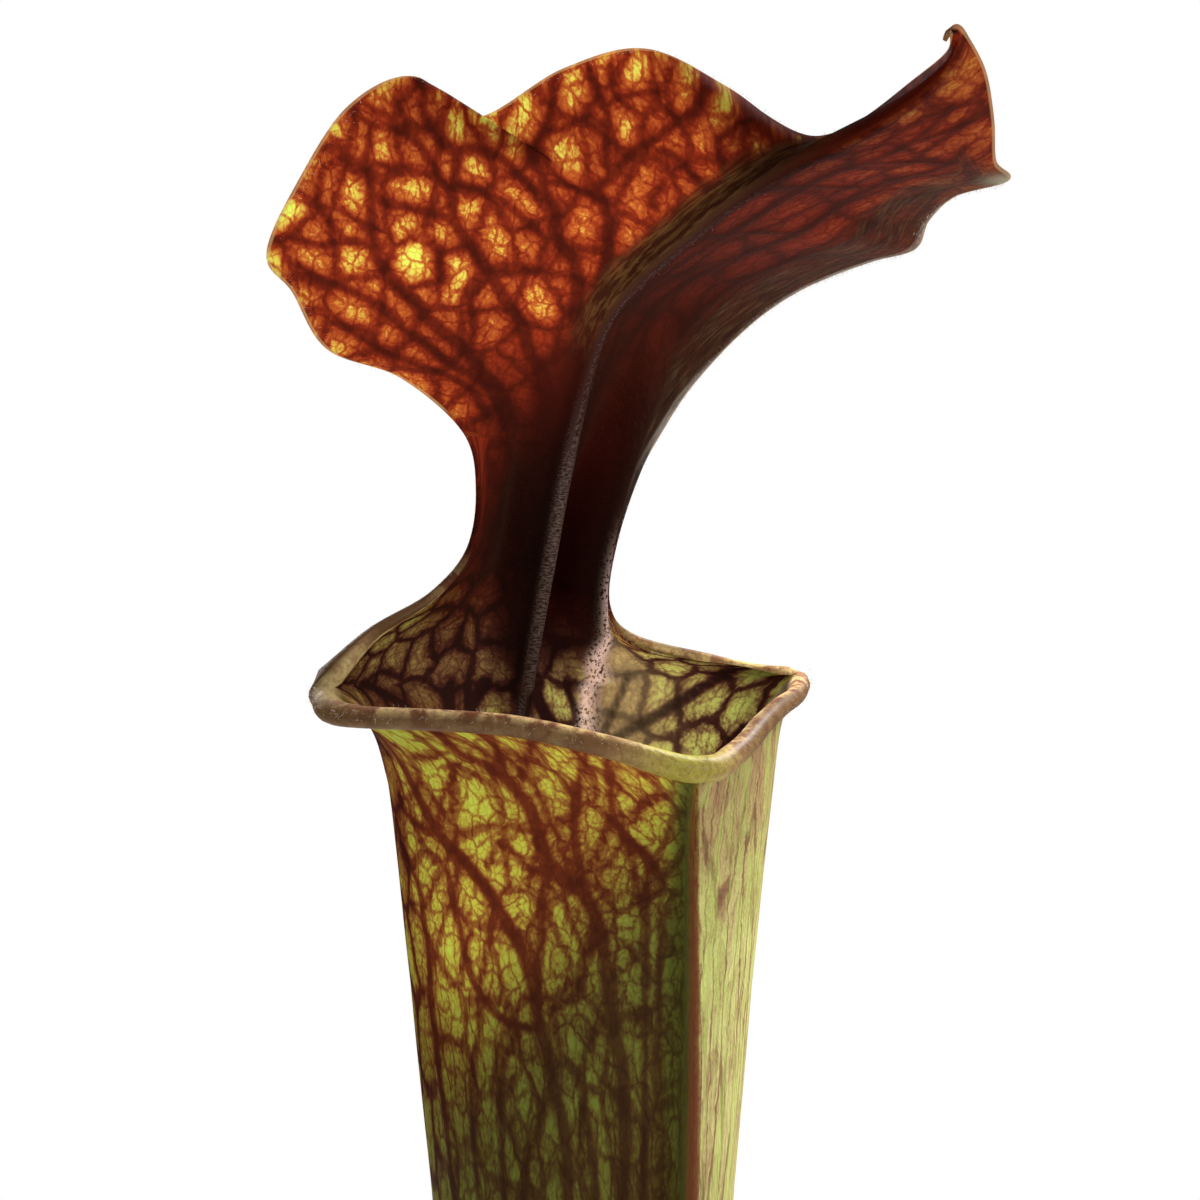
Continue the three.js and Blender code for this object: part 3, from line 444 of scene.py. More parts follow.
def on_plane(points, origin, first, second):
    """Flat coordinates of points on the plane of two directions, the first kept."""
    first = unit(first)
    second = unit(second - (second @ first) * first)
    return np.stack([(points - origin) @ first, (points - origin) @ second], -1)


# ---------- the leaf's grids ----------
BACK_STEPS = 80  # columns over each half of the back
FRONT_STEPS = 50  # columns over each half of the front
ROLL_STEPS = 12
NECK_ROWS = 20
HOOD_ROWS = 260
FLOOR_ROW = 7  # the row where the hollow's floor is

BACK_U = join([np.linspace(-1, 0, BACK_STEPS + 1), np.linspace(0, 1, BACK_STEPS + 1)[1:]])
BACK = len(BACK_U)
SIDE = np.arange(1, FRONT_STEPS) / FRONT_STEPS
FRONT_W = join([SIDE[::-1], 0 * KEEL_PLACE, SIDE])  # share of the way from the keel to the mouth's corner
FRONT_M = KEEL_ROOT * join([0 * SIDE - 1, KEEL_PLACE, 0 * SIDE + 1])  # distance from the seam on the keel
FRONT_KEEL = join([0 * SIDE, KEEL_SHARE, 0 * SIDE])
SEAM = BACK + len(FRONT_M) // 2
WIDTH = BACK + len(FRONT_M)
HEIGHTS = join([[LEAF_FOOT_Z, 91.3, 92.6, 94, 96, 98, 101],
                np.linspace(LEAF_FLOOR_Z, 300, 56)[:-1], np.linspace(300, RIM_Z, 94)])
STATIONS = join([np.linspace(0, NECK_STATION, NECK_ROWS + 1),
                 np.linspace(NECK_STATION, LAST_STATION, HOOD_ROWS + 1)[1:]])
# Point numbers: the tube, then the hood's rows above its first, which is the back of the tube's last.
TUBE_INDEX = np.arange(len(HEIGHTS) * WIDTH).reshape(-1, WIDTH)
HOOD_INDEX = join([TUBE_INDEX[-1:, :BACK],
                   TUBE_INDEX.size + np.arange((len(STATIONS) - 1) * BACK).reshape(-1, BACK)])


def ring_row(on_back=0.0, on_front=0.0):
    """One number for each column of the tube: the back from left to right, then the front."""
    return join([np.broadcast_to(on_back, BACK), np.broadcast_to(on_front, WIDTH - BACK)]).astype(float)


def on_leaf(on_tube, on_hood):
    """One number for each point from a grid for the tube and one for the hood."""
    on_tube = np.broadcast_to(on_tube, TUBE_INDEX.shape)
    return join([on_tube.ravel(), np.broadcast_to(on_hood, HOOD_INDEX.shape)[1:].ravel()]).astype(float)


def rows_on_leaf(on_tube, on_hood):
    """The same with a row of numbers for each point."""
    return join([on_tube.reshape(-1, on_tube.shape[-1]), on_hood[1:].reshape(-1, on_hood.shape[-1])])


def vein_samples(veins, point_at, step=0.25):
    """Points every step along each vein's curve with its half width there."""
    points, widths = [], []
    for start, end, knots in veins:
        path = curve(knots, np.linspace(0, len(knots) - 1, 60 * len(knots)))
        place = point_at(path[:, 0], path[:, 1])
        length = running(norm(np.diff(place, axis=0)))
        at = np.arange(0, length[-1], step)
        points.append(between(at, length, place))
        widths.append(mix(start, end, at / length[-1]))
    return join(points), join(widths)


def distance_to_veins(points, chunk=4000):
    """Distance in millimetres from the nearest vein's edge, below 0 inside it."""
    found = [vein_samples(FRONT_VEINS, front_vein_point), vein_samples(HOOD_VEINS, hood_vein_point),
             vein_samples(BACK_VEINS, back_vein_point)]
    samples, widths = map(join, zip(*found))
    samples, points = samples.astype(np.float32), points.astype(np.float32)
    result = np.empty(len(points), np.float32)
    for start in range(0, len(points), chunk):
        part = points[start:start + chunk]
        square = (part ** 2).sum(1)[:, None] + (samples ** 2).sum(1) - 2 * part @ samples.T
        result[start:start + chunk] = (np.sqrt(np.maximum(square, 0)) - widths).min(1)
    return result


def leaf_sheets():
    """The middle surface of the tube and of the hood as grids of points, their unit normals, the
    tube's angles round from the seam and the place of each front column along the rim. Round the
    front the angle goes from the keel's root to the mouth's corner in even shares."""
    back_rim = hood_point(0, BACK_U, 0)
    back_angle = np.broadcast_to(polar(back_rim)[0], (len(HEIGHTS), BACK))
    corner = np.where(FRONT_M > 0, polar(FRONT_RIM[-1])[0], polar(FRONT_RIM[0])[0])
    front_angle = mix(FRONT_M / curve_at(TUBE_SECTIONS, HEIGHTS)[:, 1:2], corner, FRONT_W)
    spout_radius = polar(front_rim(0.0)[0])[1]
    front_points, rim_place = front_rim(mix(FRONT_M / spout_radius, corner, FRONT_W))
    fold = join([hood_point(0, BACK_U) - back_rim, 0 * front_points])
    angle = join([back_angle, front_angle], 1)
    tube = tube_point(HEIGHTS[:, None], angle, join([back_rim, front_points]), fold)
    hood = hood_point(STATIONS[:, None], BACK_U)

    tube_normals = corner_normals(closed_ring(tube, 1))
    tube_normals[:, 0] += tube_normals[:, -1]
    tube_normals = tube_normals[:, :-1]
    hood_normals = corner_normals(hood)
    hood_normals[0] += tube_normals[-1, :BACK]
    tube_normals[-1, :BACK] = hood_normals[0]
    return tube, hood, unit(tube_normals), unit(hood_normals), angle, rim_place


NET_HALF_RING = 78.0  # width of the pattern from the midrib round to the seam
NET_PATCHES = (300.0, 600.0)  # places that keep the patterns of the hood's halves apart
RIDGE_SQUEEZE = 0.6  # the right half's cells are longer along the ridge by one over this
COLUMN_END = 5.0  # the station where the hood's own pattern takes over


def net_places(tube, hood, keel_out):
    """Flat places for the net of veins, in millimetres, and each point's way round from the seam.
    Tube and column: the length along the row from the midrib, kept in proportion as the tube
    narrows, against a height that is squeezed more the lower it is. Each half of the hood: the
    place on its own plane, squeezed along the ridge on the right."""
    stretch = 1.15 + 1.3 * smooth(364, 318, HEIGHTS)
    step = np.diff(HEIGHTS) * (1 - 2 / (stretch[1:] + stretch[:-1]))
    height = HEIGHTS + running(step[::-1])[::-1]
    ring = running(norm(np.diff(closed_ring(tube + keel_out, 1), axis=1)), 1)
    length = ring[:, :-1] - ring[:, BACK_STEPS:BACK_STEPS + 1]
    length[:, SEAM + 1:] -= ring[:, -1:]
    scale = NET_HALF_RING / length[:, SEAM:SEAM + 1]
    on_tube = np.stack([length * scale, height[:, None] + 0 * length], -1)
    across = running(norm(np.diff(hood, axis=1)), 1)
    across = (across - across[:, BACK_STEPS:BACK_STEPS + 1]) * scale[-1]
    on_column = np.stack([across, RIM_Z + running(norm(np.diff(hood, axis=0)))], -1)
    left, right = (on_plane(hood, MIDRIB[10], *ways) for ways in (
        (LEFT_HALF[9, :3] - MIDRIB[9], MIDRIB[14] - MIDRIB[6]),
        (MIDRIB[17] - MIDRIB[9], RIGHT_HALF[12, :3] - MIDRIB[12])))
    right = right * np.array([RIDGE_SQUEEZE, 1])
    on_hood = np.where((BACK_U < 0)[:, None], left + NET_PATCHES[0], right + NET_PATCHES[1])
    on_hood = np.where((STATIONS < COLUMN_END)[:, None, None], on_column, on_hood)
    net = np.pad(rows_on_leaf(on_tube, on_hood), ((0, 0), (0, 1)))
    return net, np.abs(ring[:, :-1] - ring[:, SEAM:SEAM + 1])


def colour_fields(hood, angle, from_rib, from_margin, from_seam):
    """Masks of the leaf's colours for each point, from 0 to 1, as products of S curves and bells of
    the height or station, the share across and the distance from an edge. Some of them lay painted
    light: shade on the upper left of the back wall, atop the right panel, low on the tube and beside
    the keel, and in part the midrib's sheen and the crest's highlight."""
    z, st, u = HEIGHTS[:, None], STATIONS[:, None], BACK_U
    left = u < 0
    right_foot = smooth(0.60, 0.68, u) * smooth(5, 2.5, st)
    on_right = ring_row(0, smooth(0, 0.2, -FRONT_M / KEEL_ROOT))
    wall = ring_row(u, 2.0)
    seen = smooth(np.radians(160), np.radians(138), angle) * (angle > 0) * smooth(380, 370, z)
    front = np.where(ring_row(0, 1) > 0, 1, seen)

    tube_flush_and_shade = laid(
        0.04 + 0.06 * smooth(352, 325, z) + 0.3 * smooth(140, 95, z),
        # painted shade: the upper left of the back wall is darkened, as the inside of the mouth is shaded
        # there
        0.42 * smooth(-0.15, -0.5, wall) * smooth(345, 365, z) * (wall < 0),
        0.99 * hump(wall - 0.12, 0.24) * smooth(310, 368, z),
        # painted shade: more pigment at the top of the right panel, under the lip
        0.55 * on_right * smooth(348, 376, z))
    column = smooth(9.9, 5.3, st - 4.2 * u * left) * smooth(1.5, 3.5, st) * (1 - right_foot)
    near_rib = np.where(left, smooth(mix(8.5, 5.0, smooth(7, 12, st)), 2.0, from_rib), hump(from_rib, 2.6))
    left_flush = (0.30 * smooth(26, 7, from_rib) * smooth(17, 13, st) + 0.22 * smooth(9.6, 7.5, st)
                  - 0.16 * smooth(7, 1, from_margin) * smooth(8, 10, st) * smooth(15, 12, st)
                  + 0.75 * smooth(16.5, 17.6, st))
    right_flush = mix(mix(0.50, 0.90, smooth(18.5, 10, st)), 0.30, right_foot)
    hood_flush = laid(np.where(left, np.clip(left_flush, 0, 0.9), right_flush),
                      0.99 * column, 0.93 * near_rib * smooth(18, 14, st))
    hood_flush = mix(tube_flush_and_shade[-1, :BACK], hood_flush, smooth(0, 1.6, st))

    dense = mix(0.3, 1 - right_foot, smooth(0, 3, st)) * smooth(6.5, 3.5, st)
    return {
        "flush": on_leaf(tube_flush_and_shade, hood_flush),
        # rib: the midrib's grey-brown fuzz, partly the hairs' own colour and partly a painted sheen along the
        # ridge
        "rib": on_leaf(ring_row(hump(u, 0.03)) * smooth(340, 370, z),
                       hump(from_rib, np.where(left, 0.4, 0.75)) * smooth(18, 12, st)),
        # crest: the pale pink speckled band on the column's raised crest, partly its own speckle and partly a
        # painted highlight where the ridge catches the light, in the colour let through as well
        "crest": on_leaf(ring_row(hump(u - 0.595, 0.026)) * smooth(362, 372, z),
                         hump(u - 0.62, 0.035) * smooth(4.5, 2, st)),
        "blush": on_leaf(ring_row(hump(u - 0.69, 0.09)) * smooth(355, 371, z),
                         hump(u - 0.71, 0.06) * smooth(3, 1, st)),
        "hood": on_leaf(0, smooth(0, 2.5, st)),
        "right": on_leaf(on_right, 0),
        "strip": on_leaf(0, smooth(0.58, 0.74, u) * smooth(3.5, 6, st) * smooth(19, 17, st)),
        "ridge": on_leaf(0, left * smooth(4.6, 1.6, from_rib) * smooth(18.5, 16, st) * smooth(7, 11, st)),
        "curl": on_leaf(0, hump(norm(hood - CURL_POINT), 2.4)),
        "front": on_leaf(front, 0),
        "inside": on_leaf(ring_row(1), smooth(3.2, 1.0, st)),
        "far": on_leaf(0, smooth(0.02, 0.1, u) * smooth(3, 6, st)),
        # low: lower down the tube, starting higher near the seam. There the net is plainer and the tones
        # darker: the tube's own olive, darkened in part as painted shade
        "low": on_leaf(smooth(366, 332, z + 40 * (np.abs(angle) / np.radians(90) - 0.5)), 0),
        # shade: a painted shadow beside the keel, a strip to its left along the front wall
        "shade": on_leaf(smooth(5.0, 0.5, from_seam) * ring_row(0, smooth(-0.1, 0.25, FRONT_M)), 0),
        "dense": on_leaf(0.30 * (1 - front),
                         dense * (1 - left * smooth(0.25, 0.65, -u) * smooth(2.0, 4.0, st))),
        "downy": on_leaf(0, ~left * smooth(1.2, 0.4, from_margin)
                         * (hump(st - 6.5, 1.4) + hump(st - 12.5, 2.2))),
        "keel": on_leaf(ring_row(0, smooth(1.115, 1.15, FRONT_KEEL)), 0),
    }


ON_FRONT, ON_LEFT, ON_TIP, ON_RIGHT = range(4)  # the stretches of the free edge


def build_leaf():
    """The whole leaf on one pair of grids, then cut at the neck into the trap and the hood. Its
    faces lie off the middle surface by half the wall, with the keel and the veins added outside
    and the midrib inside. The free edge rolls outwards: a circle that starts at the inner face and
    turns on until it meets the outer one."""
    tube, hood, tube_normals, hood_normals, angle, rim_place = leaf_sheets()
    points, normals = rows_on_leaf(tube, hood), rows_on_leaf(tube_normals, hood_normals)
    total = len(points)
    st, left = STATIONS[:, None], BACK_U < 0
    keel_reach = curve_at(KEEL, HEIGHTS)[:, 1:2] * ring_row(0, FRONT_KEEL)
    net, from_seam = net_places(tube, hood, tube_normals * keel_reach[..., None])
    from_rib = norm(hood - curve(MIDRIB, STATIONS)[:, None])
    from_margin = norm(hood - np.where(left[:, None], hood[:, :1], hood[:, -1:]))
    values = colour_fields(hood, angle, from_rib, from_margin, from_seam)
    values["vein"] = distance_to_veins(points)
    strand = np.stack([np.where(left, from_rib, from_margin + 50), 0.6 * st + 0 * from_rib, 0 * from_rib], -1)
    strand = rows_on_leaf(np.zeros((*TUBE_INDEX.shape, 3)), strand)

    relief = VEIN_RISE * hump(np.maximum(values["vein"], 0), 0.5)
    relief = relief * on_leaf(smooth(100, 130, HEIGHTS[:, None]), 1)
    thinner = (HALF_WALL - MARGIN_HALF_WALL) * hump(from_margin, 2.5) * smooth(2, 5, st)
    wall = HALF_WALL - on_leaf(0, thinner)
    rise = MIDRIB_RISE * hump(from_rib, MIDRIB_WIDTH) * smooth(21, 17, st)
    outer = points + normals * (wall + on_leaf(keel_reach, 0) + relief)[:, None]
    inner = points - normals * (wall + on_leaf(0, rise) + 0.5 * relief)[:, None]
    outer[:WIDTH, 2] = LEAF_FOOT_Z

    # The free edge: front rim from right to left, left margin up, across the tip, right margin down.
    loop = join([TUBE_INDEX[-1, BACK:], HOOD_INDEX[:, 0], HOOD_INDEX[-1, 1:-1], HOOD_INDEX[::-1, -1]])
    counts = [len(rim_place), len(STATIONS), BACK - 2, len(STATIONS)]
    side = np.repeat([ON_FRONT, ON_LEFT, ON_TIP, ON_RIGHT], counts)
    place = join([rim_place, STATIONS, np.full(BACK - 2, LAST_STATION), STATIONS[::-1]])
    roll = join([curve(FRONT_ROLL, rim_place), curve(LEFT_EDGE_ROLL, STATIONS), np.full(BACK - 2, HALF_WALL),
                 curve(RIGHT_EDGE_ROLL, STATIONS[::-1])])
    edge_wall = wall[loop]
    roll = np.maximum(roll - (HALF_WALL - edge_wall), edge_wall)
    edge_points, edge_normals = points[loop], normals[loop]
    outwards = unit(np.cross(np.roll(edge_points, -1, 0) - np.roll(edge_points, 1, 0), edge_normals))
    sweep = 2 * np.pi - np.arccos(np.clip(1 - 2 * edge_wall / roll, -1, 1))
    turn = sweep[:, None] * np.linspace(0, 1, ROLL_STEPS + 1)
    roll, edge_wall = roll[:, None], edge_wall[:, None]
    across, out = roll - edge_wall - roll * np.cos(turn), roll * np.sin(turn)
    arcs = (edge_points[:, None] + across[..., None] * edge_normals[:, None]
            + out[..., None] * outwards[:, None])
    outer[loop] = arcs[:, -1]
    arc_index = 2 * total + np.arange(len(loop) * (ROLL_STEPS - 1)).reshape(len(loop), -1)
    ring = join([(loop + total)[:, None], arc_index, loop[:, None]], 1)
    foot_centre = 2 * total + arc_index.size
    floor_centre = foot_centre + 1
    all_points = join([outer, inner, arcs[:, 1:-1].reshape(-1, 3),
                       [[0, 0, LEAF_FOOT_Z], [0, 0, LEAF_FLOOR_Z - FLOOR_DIP]]])
    copies = np.repeat(loop, ROLL_STEPS - 1)

    def everywhere(value, on_arc=None):
        """A value for the outer face, the inner face, the rolled edge and the two centres."""
        on_arc = value[copies] if on_arc is None else on_arc
        return join([value, value, on_arc, np.zeros((2, *value.shape[1:]))])

    values = {key: everywhere(value) for key, value in values.items()}
    is_lip = np.where(side == ON_FRONT, 1, (side != ON_TIP) * (place < 3) * smooth(3.2, 1.5, place))
    for key, on_loop in (
            ("lip", is_lip),
            ("dark", np.select([side == ON_FRONT, side == ON_LEFT], [1 - hump(place - 5.2, 0.8), 1.6], 0.8)),
            ("grey", np.select([side == ON_FRONT, side == ON_LEFT],
                               [hump(place - 11, 1.3), hump(place, 1.2)], 0))):
        value = np.zeros(total)
        value[loop] = on_loop
        values[key] = everywhere(value)
    free = np.where(side == ON_FRONT, 9, 9 * smooth(5.5, 3.5, place))
    values["edge"] = everywhere(
        on_leaf(9, from_margin + 9 * smooth(5.5, 3.5, st)), np.repeat(free, ROLL_STEPS - 1))
    values["outside"] = join([np.ones(total), np.zeros(total), values["front"][copies], [1, 0]])
    # under: painted shade that darkens the rolled lip as it turns down and out, over the whole roll along the
    # left margin's first stations, and where the roll meets the outer face
    under = smooth(0.28 * np.pi, 0.66 * np.pi, turn) * is_lip[:, None]
    under = np.maximum(under, ((side == ON_LEFT) * 0.85 * smooth(0.2, 1.2, place) * is_lip)[:, None])
    values["under"] = everywhere(np.zeros(total), under[:, 1:-1].ravel())
    values["under"][loop] = is_lip
    net_arcs = net[loop][:, None] + (roll * turn)[:, 1:-1, None] * np.array([0.7, 0.7, 0])
    vectors = {"net": everywhere(net, net_arcs.reshape(-1, 3)), "strand": everywhere(strand)}

    tube_ring = closed_ring(TUBE_INDEX)
    neck, above = grid_quads(HOOD_INDEX[:NECK_ROWS + 1]), grid_quads(HOOD_INDEX[NECK_ROWS:])
    after = np.roll(ring, -1, 0)
    roll_quads = np.stack([ring[:, :-1], after[:, :-1], after[:, 1:], ring[:, 1:]], -1)
    # The cut at the neck: a strip between the faces and a fan over each rolled end.
    left_cut, right_cut = len(rim_place) + NECK_ROWS, len(loop) - 1 - NECK_ROWS
    cut = HOOD_INDEX[NECK_ROWS]
    strip = np.stack([cut[1:], cut[:-1], cut[:-1] + total, cut[1:] + total], -1)
    ends = join([fan(ring[left_cut, 0], ring[left_cut, 1:])[:, ::-1],
                 fan(ring[right_cut, 0], ring[right_cut, 1:])])
    first = np.arange(len(loop))
    in_trap = (first < left_cut) | (first >= right_cut)
    trap_quads = join([grid_quads(tube_ring), grid_quads(tube_ring[FLOOR_ROW:])[:, ::-1] + total,
                       neck, neck[:, ::-1] + total, roll_quads[in_trap].reshape(-1, 4), strip])
    hood_quads = join([above, above[:, ::-1] + total, roll_quads[~in_trap].reshape(-1, 4), strip[:, ::-1]])
    trap_fans = join([fan(foot_centre, tube_ring[0]),
                      fan(floor_centre, tube_ring[FLOOR_ROW, ::-1] + total), ends])
    sharp = np.zeros(len(all_points), bool)
    sharp[join([cut, cut + total, ring[left_cut], ring[right_cut]])] = True
    return [mesh_piece(name, all_points, quads, fans, values, vectors, sharp=sharp) for name, quads, fans in (
        ("trap_leaf", trap_quads, trap_fans), ("hood_leaf", hood_quads, ends[:, ::-1]))]


# ---------- scattered copies ----------
def ripple(points, size, seed, terms=12):
    """A sum of sine waves in random directions, about as long as the size: a smooth random field
    that mostly stays between -1 and 1."""
    draw = np.random.default_rng(seed)
    waves = unit(draw.normal(size=(terms, 3))) * draw.uniform(0.6, 1.7, (terms, 1)) * 2 * np.pi / size
    return np.sin(points @ waves.T + draw.uniform(0, 2 * np.pi, terms)).sum(-1) / np.sqrt(terms)


def circle(sides):
    """Angles of a circle's points."""
    return np.linspace(0, 2 * np.pi, sides, endpoint=False)


def closed_lathe(radii, heights, sides):
    """An outline turned round the axis, from its first point on the axis to its last: a ring at each
    radius and height between them, with a fan at each end. Returns points, quads and triangles."""
    turn = circle(sides)
    rings = np.stack([np.outer(radii, np.cos(turn)), np.outer(radii, np.sin(turn)),
                      np.repeat(np.reshape(heights, (-1, 1)), sides, 1)], -1)[1:-1].reshape(-1, 3)
    index = closed_ring(np.arange(len(rings)).reshape(-1, sides))
    points = join([rings, [[0, 0, heights[0]], [0, 0, heights[-1]]]])
    fans = join([fan(len(rings), index[0, ::-1]), fan(len(rings) + 1, index[-1])])
    return points, grid_quads(index)[:, ::-1], fans


def in_triangles(points, quads, fans):
    """The same shape with its quads cut in two."""
    return points, join([quads[:, [0, 1, 2]], quads[:, [0, 2, 3]], fans])


def lump_shape(rings, sides):
    """A ball of radius 1 with few faces: rings at even steps from pole to pole."""
    turn = np.linspace(-np.pi / 2, np.pi / 2, rings + 2)
    return in_triangles(*closed_lathe(np.cos(turn), np.sin(turn), sides))


def spike_shape():
    """A three-sided spike 1 high and 1 wide at its foot, which bows sideways by 0.9 of its height
    squared."""
    points, quads, fans = closed_lathe([0, 0.5, 0.42, 0.2, 0], [0, 0, 0.35, 0.75, 1], 3)
    points[:, 0] += 0.9 * points[:, 2] ** 2
    return in_triangles(points, quads, fans)


def turned(draw, count, lean):
    """Random turns: any way round, then a lean of up to the angle. Rows are 3 x 3 matrices."""
    around, tilt = draw.uniform(0, 2 * np.pi, count), draw.uniform(-lean, lean, count)
    c, s, ct, st = np.cos(around), np.sin(around), np.cos(tilt), np.sin(tilt)
    zero, one = 0 * c, 0 * c + 1
    spin = np.stack([c, -s, zero, s, c, zero, zero, zero, one], -1).reshape(-1, 3, 3)
    tip = np.stack([ct, zero, st, zero, one, zero, -st, zero, ct], -1).reshape(-1, 3, 3)
    return spin @ tip


def scatter(name, shape, places, sizes, turns, jitter=0.0):
    """Copies of a small shape in one mesh: each is scaled, made uneven by a ripple of its size,
    turned and put in its place."""
    points, triangles = shape
    sized = points * sizes[:, None, :]
    if jitter:
        sized = sized * (1 + jitter * ripple(points * 3 + places[:, None], 4.0, 7))[..., None]
    every = np.einsum("nij,npj->npi", turns, sized) + places[:, None]
    faces = (triangles + (np.arange(len(places)) * len(points))[:, None, None]).reshape(-1, 3)
    return mesh_piece(name, every.reshape(-1, 3), (), faces, smooth_faces=False)


# ---------- down on the leaf ----------
# Number of hairs, stations from and to, share across, its spread, and the face: -1 inner, 1 outer, 0 both.
DOWN_BANDS = [
    (1500, 1.5, 17, 0.985, 0.012, 0), (700, 6.0, 18, -0.985, 0.012, 0), (900, 0.2, 15, 0.012, 0.02, -1),
    (1500, 3.0, 16, 0.9, 0.07, 1)]
LIP_HAIRS = 350
HAIR_LENGTHS = (0.3, 0.7)
HAIR_WIDTH = 0.06  # as a share of the hair's length


def hood_normals_at(station, u):
    """Direction out of the outer face: the cross product of small steps along and across it."""
    along = hood_point(station + 0.02, u) - hood_point(station - 0.02, u)
    across = hood_point(station, u + 0.01) - hood_point(station, u - 0.01)
    return unit(np.cross(along, across))


def build_down():
    """Short pale hairs: a band of them along each margin, the midrib and the strip past the fold,
    rooted in the face and leaning at random from its normal, and more round the outside of the lip."""
    draw = np.random.default_rng(31)
    places, ways = [], []
    for count, low, high, middle, spread, face in DOWN_BANDS:
        station = draw.uniform(low, high, count)
        u = np.clip(draw.normal(middle, spread, count), -0.999, 0.999)
        normal = hood_normals_at(station, u)
        side = draw.choice([-1.0, 1.0], count) if face == 0 else np.full(count, float(face))
        places.append(hood_point(station, u) + normal * (side * 0.8 * HALF_WALL)[:, None])
        ways.append(unit(normal * side[:, None] + draw.normal(0, 0.45, (count, 3))))
    place = draw.uniform(0, len(FRONT_RIM) - 1, LIP_HAIRS)
    rim, radius = curve(FRONT_RIM, place), curve(FRONT_ROLL, place)[:, None]
    outward = unit(rim * np.array([1, 1, 0]))
    tilt = draw.uniform(-0.9, 0.9, LIP_HAIRS)[:, None]
    way = outward * np.cos(tilt) + np.array([0, 0, 1]) * np.sin(tilt)
    places.append(rim + outward * (radius - HALF_WALL) + way * radius * 0.95)
    ways.append(unit(way + draw.normal(0, 0.4, (LIP_HAIRS, 3))))
    places, ways = join(places), join(ways)
    across = unit(np.cross(ways, draw.normal(size=ways.shape)))
    frames = np.stack([across, np.cross(ways, across), ways], -1)
    sizes = draw.uniform(*HAIR_LENGTHS, len(places))[:, None] * np.array([HAIR_WIDTH, HAIR_WIDTH, 1])
    return scatter("leaf_down", spike_shape(), places, sizes, frames)


# ---------- crown, growing mix and pot, as in the solids ----------
POT_HEIGHT = 100.0
POT_TOP_RADIUS = 60.0
POT_BASE_RADIUS = 44.0
POT_WALL = 3.0
POT_FLOOR = 4.0
POT_BAND_HEIGHT = 16.0
POT_BAND_OUT = 2.5
POT_EDGE = 1.5
POT_FILLET = 4.0
DRAIN_RADIUS = 5.0
DRAIN_RING_RADIUS = 26.0
DRAIN_COUNT = 4
SOIL_LEVEL = 87.0
SOIL_LUMP = 1.1
SOIL_DISH = 2.0
SOIL_GAP = 0.3
CROWN_TOP = 90.0
CROWN_SIZE = np.array([48.0, 26.0, 19.0])
CROWN_CUT = 2.5
CROWN_KNOB = 0.06
ROOT_COUNT = 6
ROOT_SIDES = 12
ROOT_RADIUS = 1.6
ROOT_START = CROWN_TOP - 11.5
ROOT_REACHES = [34, 25.5]
ROOT_DEPTHS = [43.5, 52.5, 62]
SCALE_HEIGHTS = [9.75, 13, 11.5]
SCALE_COUNT = 7
SCALE_ROOT = 5.0  # how far the dry leaf bases reach down into the crown
SCALE_GRID = (26, 15)


def pot_outer(z):
    """The pot's outer radius at a height, in a straight line from base to top."""
    return mix(POT_BASE_RADIUS, POT_TOP_RADIUS - POT_BAND_OUT, z / POT_HEIGHT)


def rounded(profile, radius, steps=5):
    """An outline of (radius, height) whose inner corners are cut back and bowed: each is the
    parabola from one cut to the other that the corner pulls out."""
    profile = np.asarray(profile, float)
    result = [profile[0]]
    for before, corner, after in zip(profile[:-2], profile[1:-1], profile[2:]):
        reach = min(radius, 0.45 * norm(corner - before), 0.45 * norm(after - corner))
        start, end = corner + reach * unit(before - corner), corner + reach * unit(after - corner)
        for t in np.linspace(0, 1, steps + 1):
            result.append((1 - t) ** 2 * start + 2 * t * (1 - t) * corner + t * t * end)
    return np.array([*result, profile[-1]])


def build_pot():
    """The pot's outline turned on a lathe with rounded corners, with four drain holes through it."""
    top, floor = POT_HEIGHT, POT_FLOOR
    band = top - POT_BAND_HEIGHT
    profile = [
        (0, 0), (POT_BASE_RADIUS, 0), (pot_outer(band), band),
        (pot_outer(band) + POT_BAND_OUT, band + POT_EDGE), (POT_TOP_RADIUS, top),
        (pot_outer(top) - POT_WALL, top), (pot_outer(floor) - POT_WALL, floor), (0, floor)]
    outside, inside = rounded(profile[:6], POT_EDGE)[:-1], rounded(profile[4:], POT_FILLET)[1:]
    outline = join([outside, inside[inside[:, 0] < POT_TOP_RADIUS - 0.5]])
    pot = mesh_piece("pot_body", *closed_lathe(outline[:, 0], outline[:, 1], 160))
    for i in range(DRAIN_COUNT):
        angle = 2 * np.pi * (i + 0.5) / DRAIN_COUNT
        place = np.array([DRAIN_RING_RADIUS * np.cos(angle), DRAIN_RING_RADIUS * np.sin(angle), floor / 2])
        hole, quads, fans = closed_lathe(
            [0, DRAIN_RADIUS, DRAIN_RADIUS, 0], 2 * floor * np.array([-1.0, -1, 1, 1]), 32)
        drill = mesh_piece("drill", hole + place, quads, fans)
        cutter = pot.modifiers.new("drain", "BOOLEAN")
        cutter.operation = "DIFFERENCE"
        cutter.solver = "EXACT"
        cutter.object = drill
        drilled = bpy.data.meshes.new_from_object(pot.evaluated_get(bpy.context.evaluated_depsgraph_get()))
        pot.modifiers.clear()
        pot.data = drilled
        bpy.data.objects.remove(drill)
    return pot


def soil_height(x, y):
    """The solid's dish with its long lumps, which are products and sums of sines of the place, and
    fine crumbs on it. The dish sinks as the fourth power of the share of the way to the wall."""
    share = np.hypot(x, y) / (pot_outer(SOIL_LEVEL) - POT_WALL)
    lumps = np.sin(0.21 * x + 0.6) * np.cos(0.26 * y) + 0.6 * np.sin(0.47 * x - 0.39 * y + 1.3)
    flat = np.stack([x, y, 0 * x], -1)
    crumbs = 0.30 * ripple(flat, 3.2, 3) + 0.18 * ripple(flat, 1.5, 4)
    return SOIL_LEVEL - SOIL_DISH * share ** 4 + SOIL_LUMP * lumps * (1 - share ** 6) + crumbs


